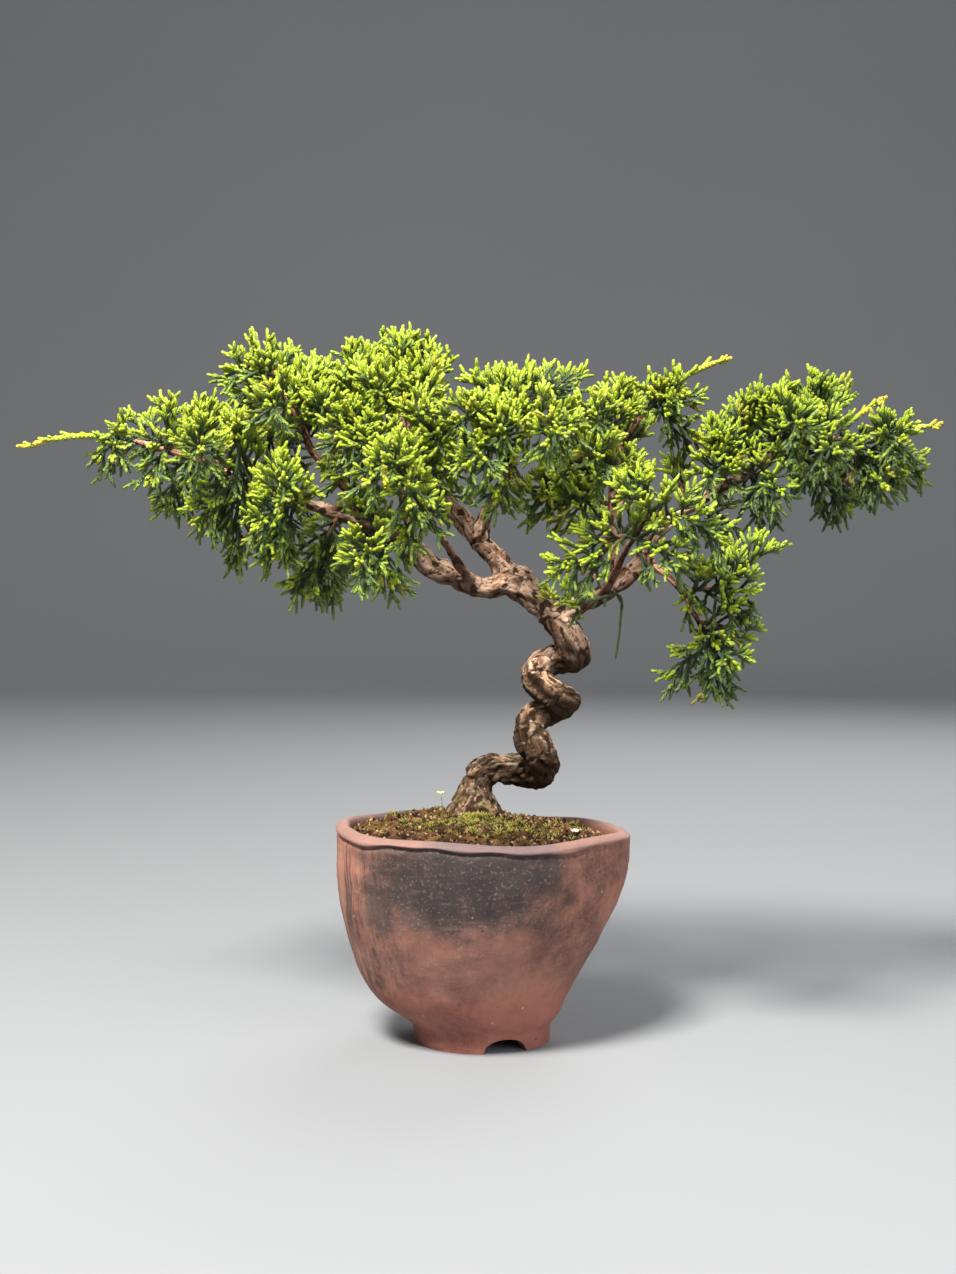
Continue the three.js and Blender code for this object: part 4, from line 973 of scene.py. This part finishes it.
# The branch that a spray grows from, how far along it, and the tips where its stems end
SPRAYS = [
    ("left", 1.0, [(-145, -8, 187.5), (-122, -4, 181), (-109, -18, 193), (-113, -18, 181)]),
    ("left", 0.92, [(-97, -16, 202), (-112, 12, 191), (-103, -20, 174), (-102, -22, 186)]),
    ("left", 0.87, [(-86, -4, 202), (-82, -44, 184), (-99, -4, 165)]),
    ("left", 0.82, [(-100, 30, 191), (-88, 32, 200), (-85, 34, 172)]),
    ("left", 0.77, [(-74, -30, 196), (-88, -26, 162), (-75, -12, 149)]),
    ("left", 0.71, [(-73, 14, 195), (-60, 30, 191), (-70, 32, 162)]),
    ("left", 0.67, [(-68, -44, 161), (-62, -34, 151), (-57, -52, 177), (-53, -28, 173)]),
    ("left", 0.61, [(-54, -24, 140), (-48, -10, 138), (-50, 26, 152), (-61, -26, 143)]),
    ("left", 0.53, [(-27, -24, 143), (-37, -44, 151), (-37, 32, 159), (-38, -24, 171)]),
    ("top_left", 1.0, [(-71, -12, 221), (-81, -16, 211), (-70, -24, 211)]),
    ("top_left", 0.83, [(-80, 2, 206), (-63, 8, 218)]),
    ("top_left", 0.72, [(-54, -6, 213), (-50, 12, 214), (-64, -40, 198)]),
    ("top_left", 0.5, [(-64, 42, 212), (-45, -36, 199), (-77, 36, 205)]),
    ("upright", 1.0, [(-43, 6, 222), (-38, 24, 220), (-32, -30, 206), (-45, -16, 210)]),
    ("upright", 0.75, [(-42, -30, 198), (-43, -42, 187), (-33, -48, 183), (-46, -24, 176)]),
    ("mid", 1.0, [(-26, 16, 227), (-32, 34, 223)]),
    ("mid", 0.93, [(-17, 20, 225), (-11, 2, 217), (-17, -24, 205)]),
    ("mid", 0.85, [(-18, 60, 207), (-28, 54, 200)]),
    ("mid", 0.78, [(-13, -34, 191), (-23, -38, 199)]),
    ("mid", 0.7, [(-4, 44, 189), (-14, 52, 180), (-24, -46, 179)]),
    ("front", 1.0, [(-28, -68, 182), (-34, -73, 172), (-20, -66, 166)]),
    ("front", 0.75, [(-16, -58, 164), (-25, -55, 156)]),
    ("mid_fork", 0.57, [(-4, -34, 201), (-9, -44, 193)]),
    ("mid_fork", 0.67, [(5, -50, 191), (-6, -50, 178), (4, -34, 168), (10, -26, 180)]),
    ("mid_fork", 0.77, [(27, -52, 190), (17, -58, 184)]),
    ("mid_fork", 0.83, [(-1, -6, 209), (8, 6, 210), (-7, -12, 209)]),
    ("mid_fork", 1.0, [(19, -12, 208), (29, 8, 208)]),
    ("mid_fork", 0.92, [(13, 36, 205), (26, 40, 205)]),
    ("riser", 0.86, [(37, -8, 206), (46, 16, 206)]),
    ("riser", 0.77, [(32, -34, 197), (23, -28, 196)]),
    ("riser", 1.0, [(79, 4, 217), (58, -8, 203)]),
    ("riser", 0.94, [(64, -14, 204), (68, -4, 189), (57, -16, 196), (51, -12, 203)]),
    ("riser", 0.57, [(19, -28, 178), (15, -16, 170), (35, -38, 183)]),
    ("riser", 0.43, [(8, -22, 170), (27, -28, 168)]),
    ("riser", 0.66, [(53, 44, 199), (40, 46, 192)]),
    ("riser", 0.5, [(40, -32, 178), (52, -26, 178)]),
    ("right", 1.0, [(144, -6, 195), (137, -10, 176), (126, -32, 188)]),
    ("right", 0.94, [(128, 2, 204), (123, -24, 172), (121, 12, 171), (131, -18, 178)]),
    ("right", 0.87, [(107, -10, 209), (119, 16, 208), (104, -46, 183)]),
    ("right", 0.83, [(93, -42, 193), (116, -8, 166)]),
    ("right", 0.79, [(96, -2, 208), (86, -22, 203), (108, 46, 196), (107, -20, 179)]),
    ("right", 0.72, [(90, -34, 172), (91, -10, 164)]),
    ("right", 0.67, [(71, -22, 192), (94, 42, 199), (84, -8, 203), (75, -22, 182), (67, -26, 178)]),
    ("right", 0.56, [(59, 2, 185), (81, 20, 165)]),
    ("right", 0.11, [(28, -18, 138), (20, -24, 142), (41, -8, 122)]),
    ("front_right", 1.0, [(39, -54, 173), (49, -46, 180)]),
    ("front_right", 0.85, [(62, -60, 164), (72, -56, 156)]),
    ("front_right", 0.65, [(26, -40, 155), (18, -44, 147), (59, -56, 152), (42, -34, 158)]),
    ("drop", 1.0, [(72, -28, 109), (56, -18, 115), (61, -34, 126)]),
    ("drop", 0.88, [(83, -32, 128), (76, -40, 119), (70, -38, 125)]),
    ("drop", 0.6, [(84, -34, 143), (88, -30, 158), (77, -44, 150), (76, -40, 136), (65, -40, 150),
                   (60, -36, 136)]),
    ("back_left", 1.0, [(-31, 71, 202), (-18, 73, 198)]),
    ("back_left", 0.7, [(-29, 66, 180), (-8, 66, 173)]),
    ("back_right", 1.0, [(50, 73, 188), (39, 70, 191)]),
    ("back_right", 0.7, [(62, 66, 166), (35, 68, 166)]),
]
# Sprays whose first stem outgrew its shoots, and how much of its end is bare
BARE_ENDS = {"left_1": 27, "riser_3": 17, "right_1": 13, "right_2": 14, "riser_8": 9}
HANGING_TIP = (41, -8, 122)
HANGING_ROUTE = [(35, -14, 140), (42.5, -12, 141), (42.8, -11, 132), (41.5, -10, 121)]
CORD_SIDES = 4
CORD_BASE = 0.5
SCALE_LENGTH = 1.2
STEM_BASE = 0.85
STEM_END = 0.55
STEM_STEP = 1.3
SHOOT_GAP = 1.35
SHOOT_LENGTHS = [10, 15, 12, 4.5]
FINGER_RADIUS = 0.65
FINGER_STEP = 1.25
FINGER_GAP = 1.6
FINGER_LENGTHS = [7.4, 5.9, 3.3]
FORKS_FROM = 4.4
LEADER_GAP = 2.6
FRESH_END = 5
GOLDEN_ANGLE = 2.4
UP = np.array([0.0, 0.0, 1.0])

spray_random = random.Random(5)


def unit(v):
    """A direction of length 1."""
    return v / max(1e-9, math.sqrt(float(np.dot(v, v))))


def astray(size):
    """A small random step."""
    return np.array([spray_random.uniform(-size, size) for _ in range(3)])


def bent(start, middle, end, count):
    """Points on a curve that leaves its start towards a middle point and ends at its end."""
    t = np.linspace(0, 1, count)[:, None]
    return (1 - t) ** 2 * start + 2 * t * (1 - t) * middle + t * t * end


def partway(line, at):
    """The point at a share of the length of a line, and the number of the point before it."""
    k = at * (len(line) - 1)
    i = min(int(k), len(line) - 2)
    return line[i] + (line[i + 1] - line[i]) * (k - i), i


class Spray:
    """The cords of one spray, gathered by how many rings each has."""

    def __init__(self):
        self.cords = {}

    def add_cord(self, line, radii, fresh, gold, wood):
        """One cord: its line, and its radius, freshness with any painted shade, gold and brown at each
        point.
        """
        self.cords.setdefault(len(line), []).append((line, radii, fresh, gold, wood))

    def build(self):
        """The points, faces, places in the scale pattern and tones of all the cords."""
        points, faces, scales, notes, total = [], [], [], [], 0
        for count, cords in sorted(self.cords.items()):
            lines = np.array([cord[0] for cord in cords])
            radii = np.array([cord[1] for cord in cords])
            along = np.gradient(lines, axis=1)
            along /= np.linalg.norm(along, axis=2)[..., None] + 1e-9
            side = np.cross(along, (0.31, 0.17, 0.93))
            side /= np.linalg.norm(side, axis=2)[..., None] + 1e-9
            across = np.cross(along, side)
            rings = count - 1
            turns = np.arange(CORD_SIDES)[None] + 0.5 * (np.arange(rings) % 2)[:, None]
            turns = turns * 2 * math.pi / CORD_SIDES
            ring = (np.cos(turns)[None, ..., None] * side[:, :rings, None]
                    + np.sin(turns)[None, ..., None] * across[:, :rings, None])
            body = lines[:, :rings, None] + radii[:, :rings, None, None] * ring
            body = np.concatenate([body.reshape(len(cords), -1, 3), lines[:, -1:]], 1)
            pattern, marks = cord_pattern(rings)
            size = body.shape[1]
            starts = total + size * np.arange(len(cords))
            faces.append((starts[:, None, None] + pattern[None]).reshape(-1, 3))
            scales.append(np.tile(marks.reshape(-1, 3), (len(cords), 1)))
            points.append(body.reshape(-1, 3))
            for cord in cords:
                tones = np.stack([cord[2], cord[3], cord[4]], 1)
                notes.append(np.concatenate([np.repeat(tones[:rings], CORD_SIDES, 0), tones[-1:]]))
            total += size * len(cords)
        return np.concatenate(points), np.concatenate(faces), np.concatenate(scales), np.concatenate(notes)


def cord_pattern(rings):
    """The faces of a cord whose rings are turned by half a side each, and the place of each corner
    in its pattern of scale leaves."""
    faces, marks = [], []

    def corner(ring, j, u):
        return ring * CORD_SIDES + j % CORD_SIDES, (u, ring, 0)

    for ring in range(rings - 1):
        shift = 0.5 * (ring % 2)
        ahead = 0.5 - shift
        for j in range(CORD_SIDES):
            low = corner(ring, j, j + shift), corner(ring, j + 1, j + 1 + shift)
            high = corner(ring + 1, j, j + ahead), corner(ring + 1, j + 1, j + 1 + ahead)
            if ring % 2 == 0:
                triangles = (low[0], low[1], high[0]), (low[1], high[1], high[0])
            else:
                triangles = (low[0], low[1], high[1]), (low[0], high[1], high[0])
            for triangle in triangles:
                faces.append([c[0] for c in triangle])
                marks.append([c[1] for c in triangle])
    last = rings - 1
    shift = 0.5 * (last % 2)
    for j in range(CORD_SIDES):
        low = corner(last, j, j + shift), corner(last, j + 1, j + 1 + shift)
        tip = (rings * CORD_SIDES, (j + 0.5 + shift, rings, 0))
        faces.append([low[0][0], low[1][0], tip[0]])
        marks.append([low[0][1], low[1][1], tip[1]])
    return np.array(faces), np.array(marks, dtype=float)


def grow_finger(spray, start, way, reach, fresh, gold, thick=1.0, ripeness_and_light=1.0):
    """A blunt new end: it swells from its base and closes in a round tip."""
    count = max(4, round(reach / FINGER_STEP) + 1)
    ahead = unit(way + 0.2 * UP * ripeness_and_light + astray(0.12))
    line = bent(start, start + way * reach * 0.5, start + ahead * reach, count)
    share = np.linspace(0, 1, count)
    line[-2] = line[-1] + (line[-2] - line[-1]) * 0.3
    radii = FINGER_RADIUS * thick * np.interp(share, [0, 0.35, 0.75, 1], [0.62, 0.92, 1.05, 0.9])
    radii[-2] *= 0.74
    tone = np.interp(share, [0, 0.36, 0.74, 1], [fresh, 0.6 * fresh + 0.25 * ripeness_and_light, 0.8 * ripeness_and_light, ripeness_and_light])
    tone = tone * spray_random.uniform(0.88, 1.08)
    spray.add_cord(line, radii, tone, np.full(count, gold) * share, np.zeros(count))
    if reach > FORKS_FROM:
        hand = np.cross(ahead, unit(astray(1)))
        reach = spray_random.uniform(2.2, 2.9)
        grow_finger(spray, line[1], unit(ahead + 0.65 * hand), reach, tone[1], gold, 0.9, ripeness_and_light)


def grow_shoot(spray, start, way, reach, fresh, gold, lift):
    """A side shoot: a thin scaly cord with blunt fingers on both sides and a tuft at its end. A shoot
    that hangs in the shade below is longer, with fewer fingers, and painted darker as shade."""
    shade = float(np.clip(-1.8 * way[2] - 0.1, 0, 1))
    reach *= 1 + 0.2 * shade
    count = max(6, round(reach / SCALE_LENGTH) + 2)
    end = start + unit(way + lift * (1 - shade) * UP - 0.4 * shade * UP + astray(0.1)) * reach
    line = bent(start, start + way * reach * 0.55, end, count)
    share = np.linspace(0, 1, count)
    # Hanging shoots are painted darker, most at their tips: painted shade
    ripeness_and_light = 1 - 0.45 * shade
    radii = np.interp(share, [0, 0.6, 0.85, 1], [CORD_BASE, 0.55, 0.68, 0.5])
    tone = np.interp(share, [0, 0.55, 0.85, 1], [fresh, fresh + 0.05, 0.45 * ripeness_and_light, ripeness_and_light])
    line[-2] = line[-1] + (line[-2] - line[-1]) * 0.3
    radii[-2] *= 0.75
    spray.add_cord(line, radii, tone, np.full(count, gold) * share, np.zeros(count))
    flat = unit(np.cross(way, unit(astray(1) + 0.4 * UP)))
    place = max(1.8, reach * spray_random.uniform(0.34, 0.5))
    hand = spray_random.choice((-1, 1))
    while place < reach - 0.8:
        at = place / reach
        base, i = partway(line, at)
        ahead = unit(line[i + 1] - line[i])
        spread = unit((0.85 + 0.5 * shade) * ahead + 0.56 * hand * flat + astray(0.24))
        length = np.interp(at, [0.2, 0.5, 1], FINGER_LENGTHS) * spray_random.uniform(0.8, 1.12)
        # Painted shade on the fingers of a hanging shoot
        inner = np.interp(at, [0.3, 1], [fresh + 0.04, 0.5]) * (1 - 0.5 * shade)
        tip_tone = ripeness_and_light * np.interp(at, [0.3, 0.7], [0.75, 1])
        length *= 1 + 0.3 * shade
        grow_finger(spray, base, spread, length, inner, gold, 1 - 0.15 * shade, tip_tone)
        hand = -hand
        place += FINGER_GAP * spray_random.uniform(0.75, 1.2) * (1 + 0.7 * shade)
    for hand in (-1, 1):
        spread = unit(unit(line[-1] - line[-3]) + 0.5 * hand * flat + astray(0.2))
        grow_finger(spray, line[-3], spread, 2.8 * spray_random.uniform(0.85, 1.15), 0.6, gold, 1, ripeness_and_light)


def grow_hanging_cord(spray, line):
    """A long bare cord that hangs down, with a few short cords near its upper end."""
    count = len(line)
    share = np.linspace(0, 1, count)
    tone = np.interp(share, [0, 0.9, 1], [0.15, 0.25, 0.5])
    spray.add_cord(line, np.interp(share, [0, 1], [0.58, 0.36]), tone, 0 * share, 0 * share)
    for at in (0.2, 0.3, 0.38, 0.46):
        base = line[round(at * (count - 1))]
        way = unit(astray(1) - 1.2 * UP)
        grow_finger(spray, base, way, spray_random.uniform(3, 4.3), 0.1, 0, 0.75, 0.3)


def grow_leader(spray, line, along, left, up, length, bare):
    """Fingers that lie close along the bare end of a stem that outgrew the others."""
    place = length - 0.7 * bare
    turn = spray_random.uniform(0, 6)
    while place < length - 2:
        base, i = partway(line, place / length)
        side = math.cos(turn) * left[i] + math.sin(turn) * up[i]
        way = unit(along[i] + 0.3 * side)
        grow_finger(spray, base, way, spray_random.uniform(4, 5.5), 0.6, 0.25, 1.15)
        turn += GOLDEN_ANGLE
        place += LEADER_GAP


def grow_stem(spray, line, first_shoot, woody, bare):
    """A stem with shoots all round it, shorter towards its end, and a tuft of fingers at the end."""
    length = float(np.sum(np.linalg.norm(np.diff(line, axis=0), axis=1)))
    count = max(6, round(length / STEM_STEP))
    shares = np.linspace(0, 1, count)
    line = np.stack([np.interp(shares, np.linspace(0, 1, len(line)), line[:, k]) for k in range(3)], 1)
    reached = shares * length
    leader = np.clip((reached - length + bare) / max(bare, 1), 0, 1) ** 0.3 if bare else 0 * shares
    radii = np.interp(shares, [0, 1], [STEM_BASE, STEM_END]) + 0.4 * leader
    wood = woody * (1 - smooth_step(reached, 5, 15))
    tone = np.maximum(np.interp(shares, [0, 0.6, 1], [0.04, 0.2, 0.7]), 0.85 * leader)
    gold = 0.8 * leader * smooth_step(reached, length - 9, length)
    spray.add_cord(line, radii, tone, gold, wood)
    along, left, up = carried_frames(line)
    turn = spray_random.uniform(0, 6)
    place = first_shoot
    while place < length - max(1, bare):
        at = place / length
        base, i = partway(line, at)
        side = math.cos(turn) * left[i] + math.sin(turn) * up[i]
        lift = 0.12 + 0.3 * along[i][2]
        way = unit(0.75 * along[i] + 0.75 * side + lift * UP + astray(0.12))
        reach = np.interp(at, [0, 0.25, 0.6, 1], SHOOT_LENGTHS) * spray_random.uniform(0.65, 1.12)
        reach = min(reach, 0.42 * (length - bare) + (4 if bare else 2))
        yellowed = 0.3 if spray_random.random() < 0.05 else 0.0
        grow_shoot(spray, base, way, reach, 0.02 + 0.16 * at, yellowed, lift)
        place += SHOOT_GAP * spray_random.uniform(0.8, 1.2)
        turn += GOLDEN_ANGLE + spray_random.uniform(-0.3, 0.3)
    if bare:
        grow_leader(spray, line, along, left, up, length, bare)
    ahead = unit(line[-1] - line[-2])
    for k in range(4):
        side = math.cos(turn + k * 2.1) * left[-1] + math.sin(turn + k * 2.1) * up[-1]
        spread = unit(ahead + (0.5 if k else 0.05) * side)
        reach = 4.8 if k == 0 else spray_random.uniform(2.8, 3.6)
        grow_finger(spray, line[-1], spread, reach, 0.65, 0.8 if bare else 0.0, 1.2)


leaves = Finish("scale_leaves", 0.46, 0.5)
cord_tone = leaves.noted("tone", "Vector")
patch = leaves.worked("MULTIPLY_ADD", leaves.grain(260, detail=3), 0.24, -0.12)
freshness_and_shade = leaves.worked("ADD", leaves.part("X", cord_tone), patch)
# The right side of the crown is painted darker: painted shade
right_side_shade = leaves.step(leaves.part("X"), 0.03, 0.09)
freshness_and_shade = leaves.worked("MULTIPLY_ADD", right_side_shade, -0.1, freshness_and_shade)
leaves.paint(leaves.mixed(leaves.step(freshness_and_shade, 0.0, 0.4), (38, 54, 18), (86, 111, 46)))
leaves.coat((152, 170, 18), leaves.step(freshness_and_shade, 0.28, 0.64))
leaves.coat((190, 197, 76), leaves.step(freshness_and_shade, 0.66, 1.02))
leaves.coat((218, 168, 56), leaves.part("Y", cord_tone))
leaves.coat((126, 76, 52), leaves.part("Z", cord_tone))

# The seams between the small scales that clothe a cord, painted dark as shade, darkest on the old cords
around, along = [leaves.part(axis, leaves.noted("scales", "Vector")) for axis in ("X", "Y")]
rising = leaves.worked("SINE", leaves.times(leaves.worked("ADD", around, along), math.pi))
falling = leaves.worked("SINE", leaves.times(leaves.worked("SUBTRACT", around, along), math.pi))
scale = leaves.worked("ABSOLUTE", leaves.times(rising, falling))
old = leaves.step(freshness_and_shade, 0.9, 0.3)
leaves.coat((20, 30, 4), leaves.step(scale, 0.3, 0.0), leaves.worked("MULTIPLY_ADD", old, 0.5, 0.14))
# Painted shade on the undersides of the cords
leaves.coat((28, 39, 10), leaves.facing_down(), 0.45)
leaves.relief([(scale, 0.22)])


def grow_spray(name, branch, share, tips):
    """The stems of one spray: the first grows from the branch, and the others fork from it."""
    spray = Spray()
    route, radii = BRANCHES[branch]
    start = point_on(route, share)
    thick = np.interp(share, np.linspace(0, 1, len(radii)), radii)
    first_tip = np.array(tips[0], dtype=float)
    end = first_tip - unit(first_tip - start) * FRESH_END
    stem = bent(start, (start + end) / 2 + UP * 0.13 * math.dist(start, end), end, 24)
    bare = BARE_ENDS.get(name, 0)
    grow_stem(spray, stem, thick + 1.5, 0.0 if bare else 1.0, bare)
    for tip in tips[1:]:
        tip = np.array(tip, dtype=float)
        scores = [float(np.dot(unit(stem[i + 1] - stem[i]), unit(tip - stem[i]))) for i in range(4, 20)]
        leaving = 4 + int(np.argmin(np.abs(np.array(scores) - 0.72)))
        fork = stem[leaving]
        if tuple(tip) == HANGING_TIP:
            grow_hanging_cord(spray, evenly([tuple(fork), *HANGING_ROUTE], SCALE_LENGTH)[0])
            continue
        way = unit(tip - fork)
        ahead = unit(stem[leaving + 1] - stem[leaving])
        end = tip - way * FRESH_END
        swing = unit(way - ahead * float(np.dot(way, ahead))) + UP
        middle = (fork + end) / 2 + swing * 0.06 * math.dist(fork, end)
        grow_stem(spray, bent(fork, middle, end, 18), 2.5, 0.0, 0)
    return spray


counts = {}
for branch, share, tips in SPRAYS:
    counts[branch] = counts.get(branch, 0) + 1
    name = f"{branch}_{counts[branch]}"
    points, faces, scales, tones = grow_spray(name, branch, share, tips).build()
    mesh = bpy.data.meshes.new(f"leaves_{name}")
    mesh.vertices.add(len(points))
    mesh.vertices.foreach_set("co", (points * MM).ravel())
    mesh.loops.add(len(faces) * 3)
    mesh.loops.foreach_set("vertex_index", faces.ravel())
    mesh.polygons.add(len(faces))
    mesh.polygons.foreach_set("loop_start", np.arange(len(faces)) * 3)
    mesh.polygons.foreach_set("loop_total", np.full(len(faces), 3))
    mesh.polygons.foreach_set("use_smooth", [True] * len(faces))
    mesh.update(calc_edges=True)
    note(mesh, "tone", tones, "FLOAT_VECTOR")
    note(mesh, "scales", scales, "FLOAT_VECTOR", "CORNER")
    mesh.materials.append(leaves.material)
    piece = bpy.data.objects.new(f"leaves_{name}", mesh)
    bpy.context.scene.collection.objects.link(piece)
    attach(piece, "root")
    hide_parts(f"spray_{name}")
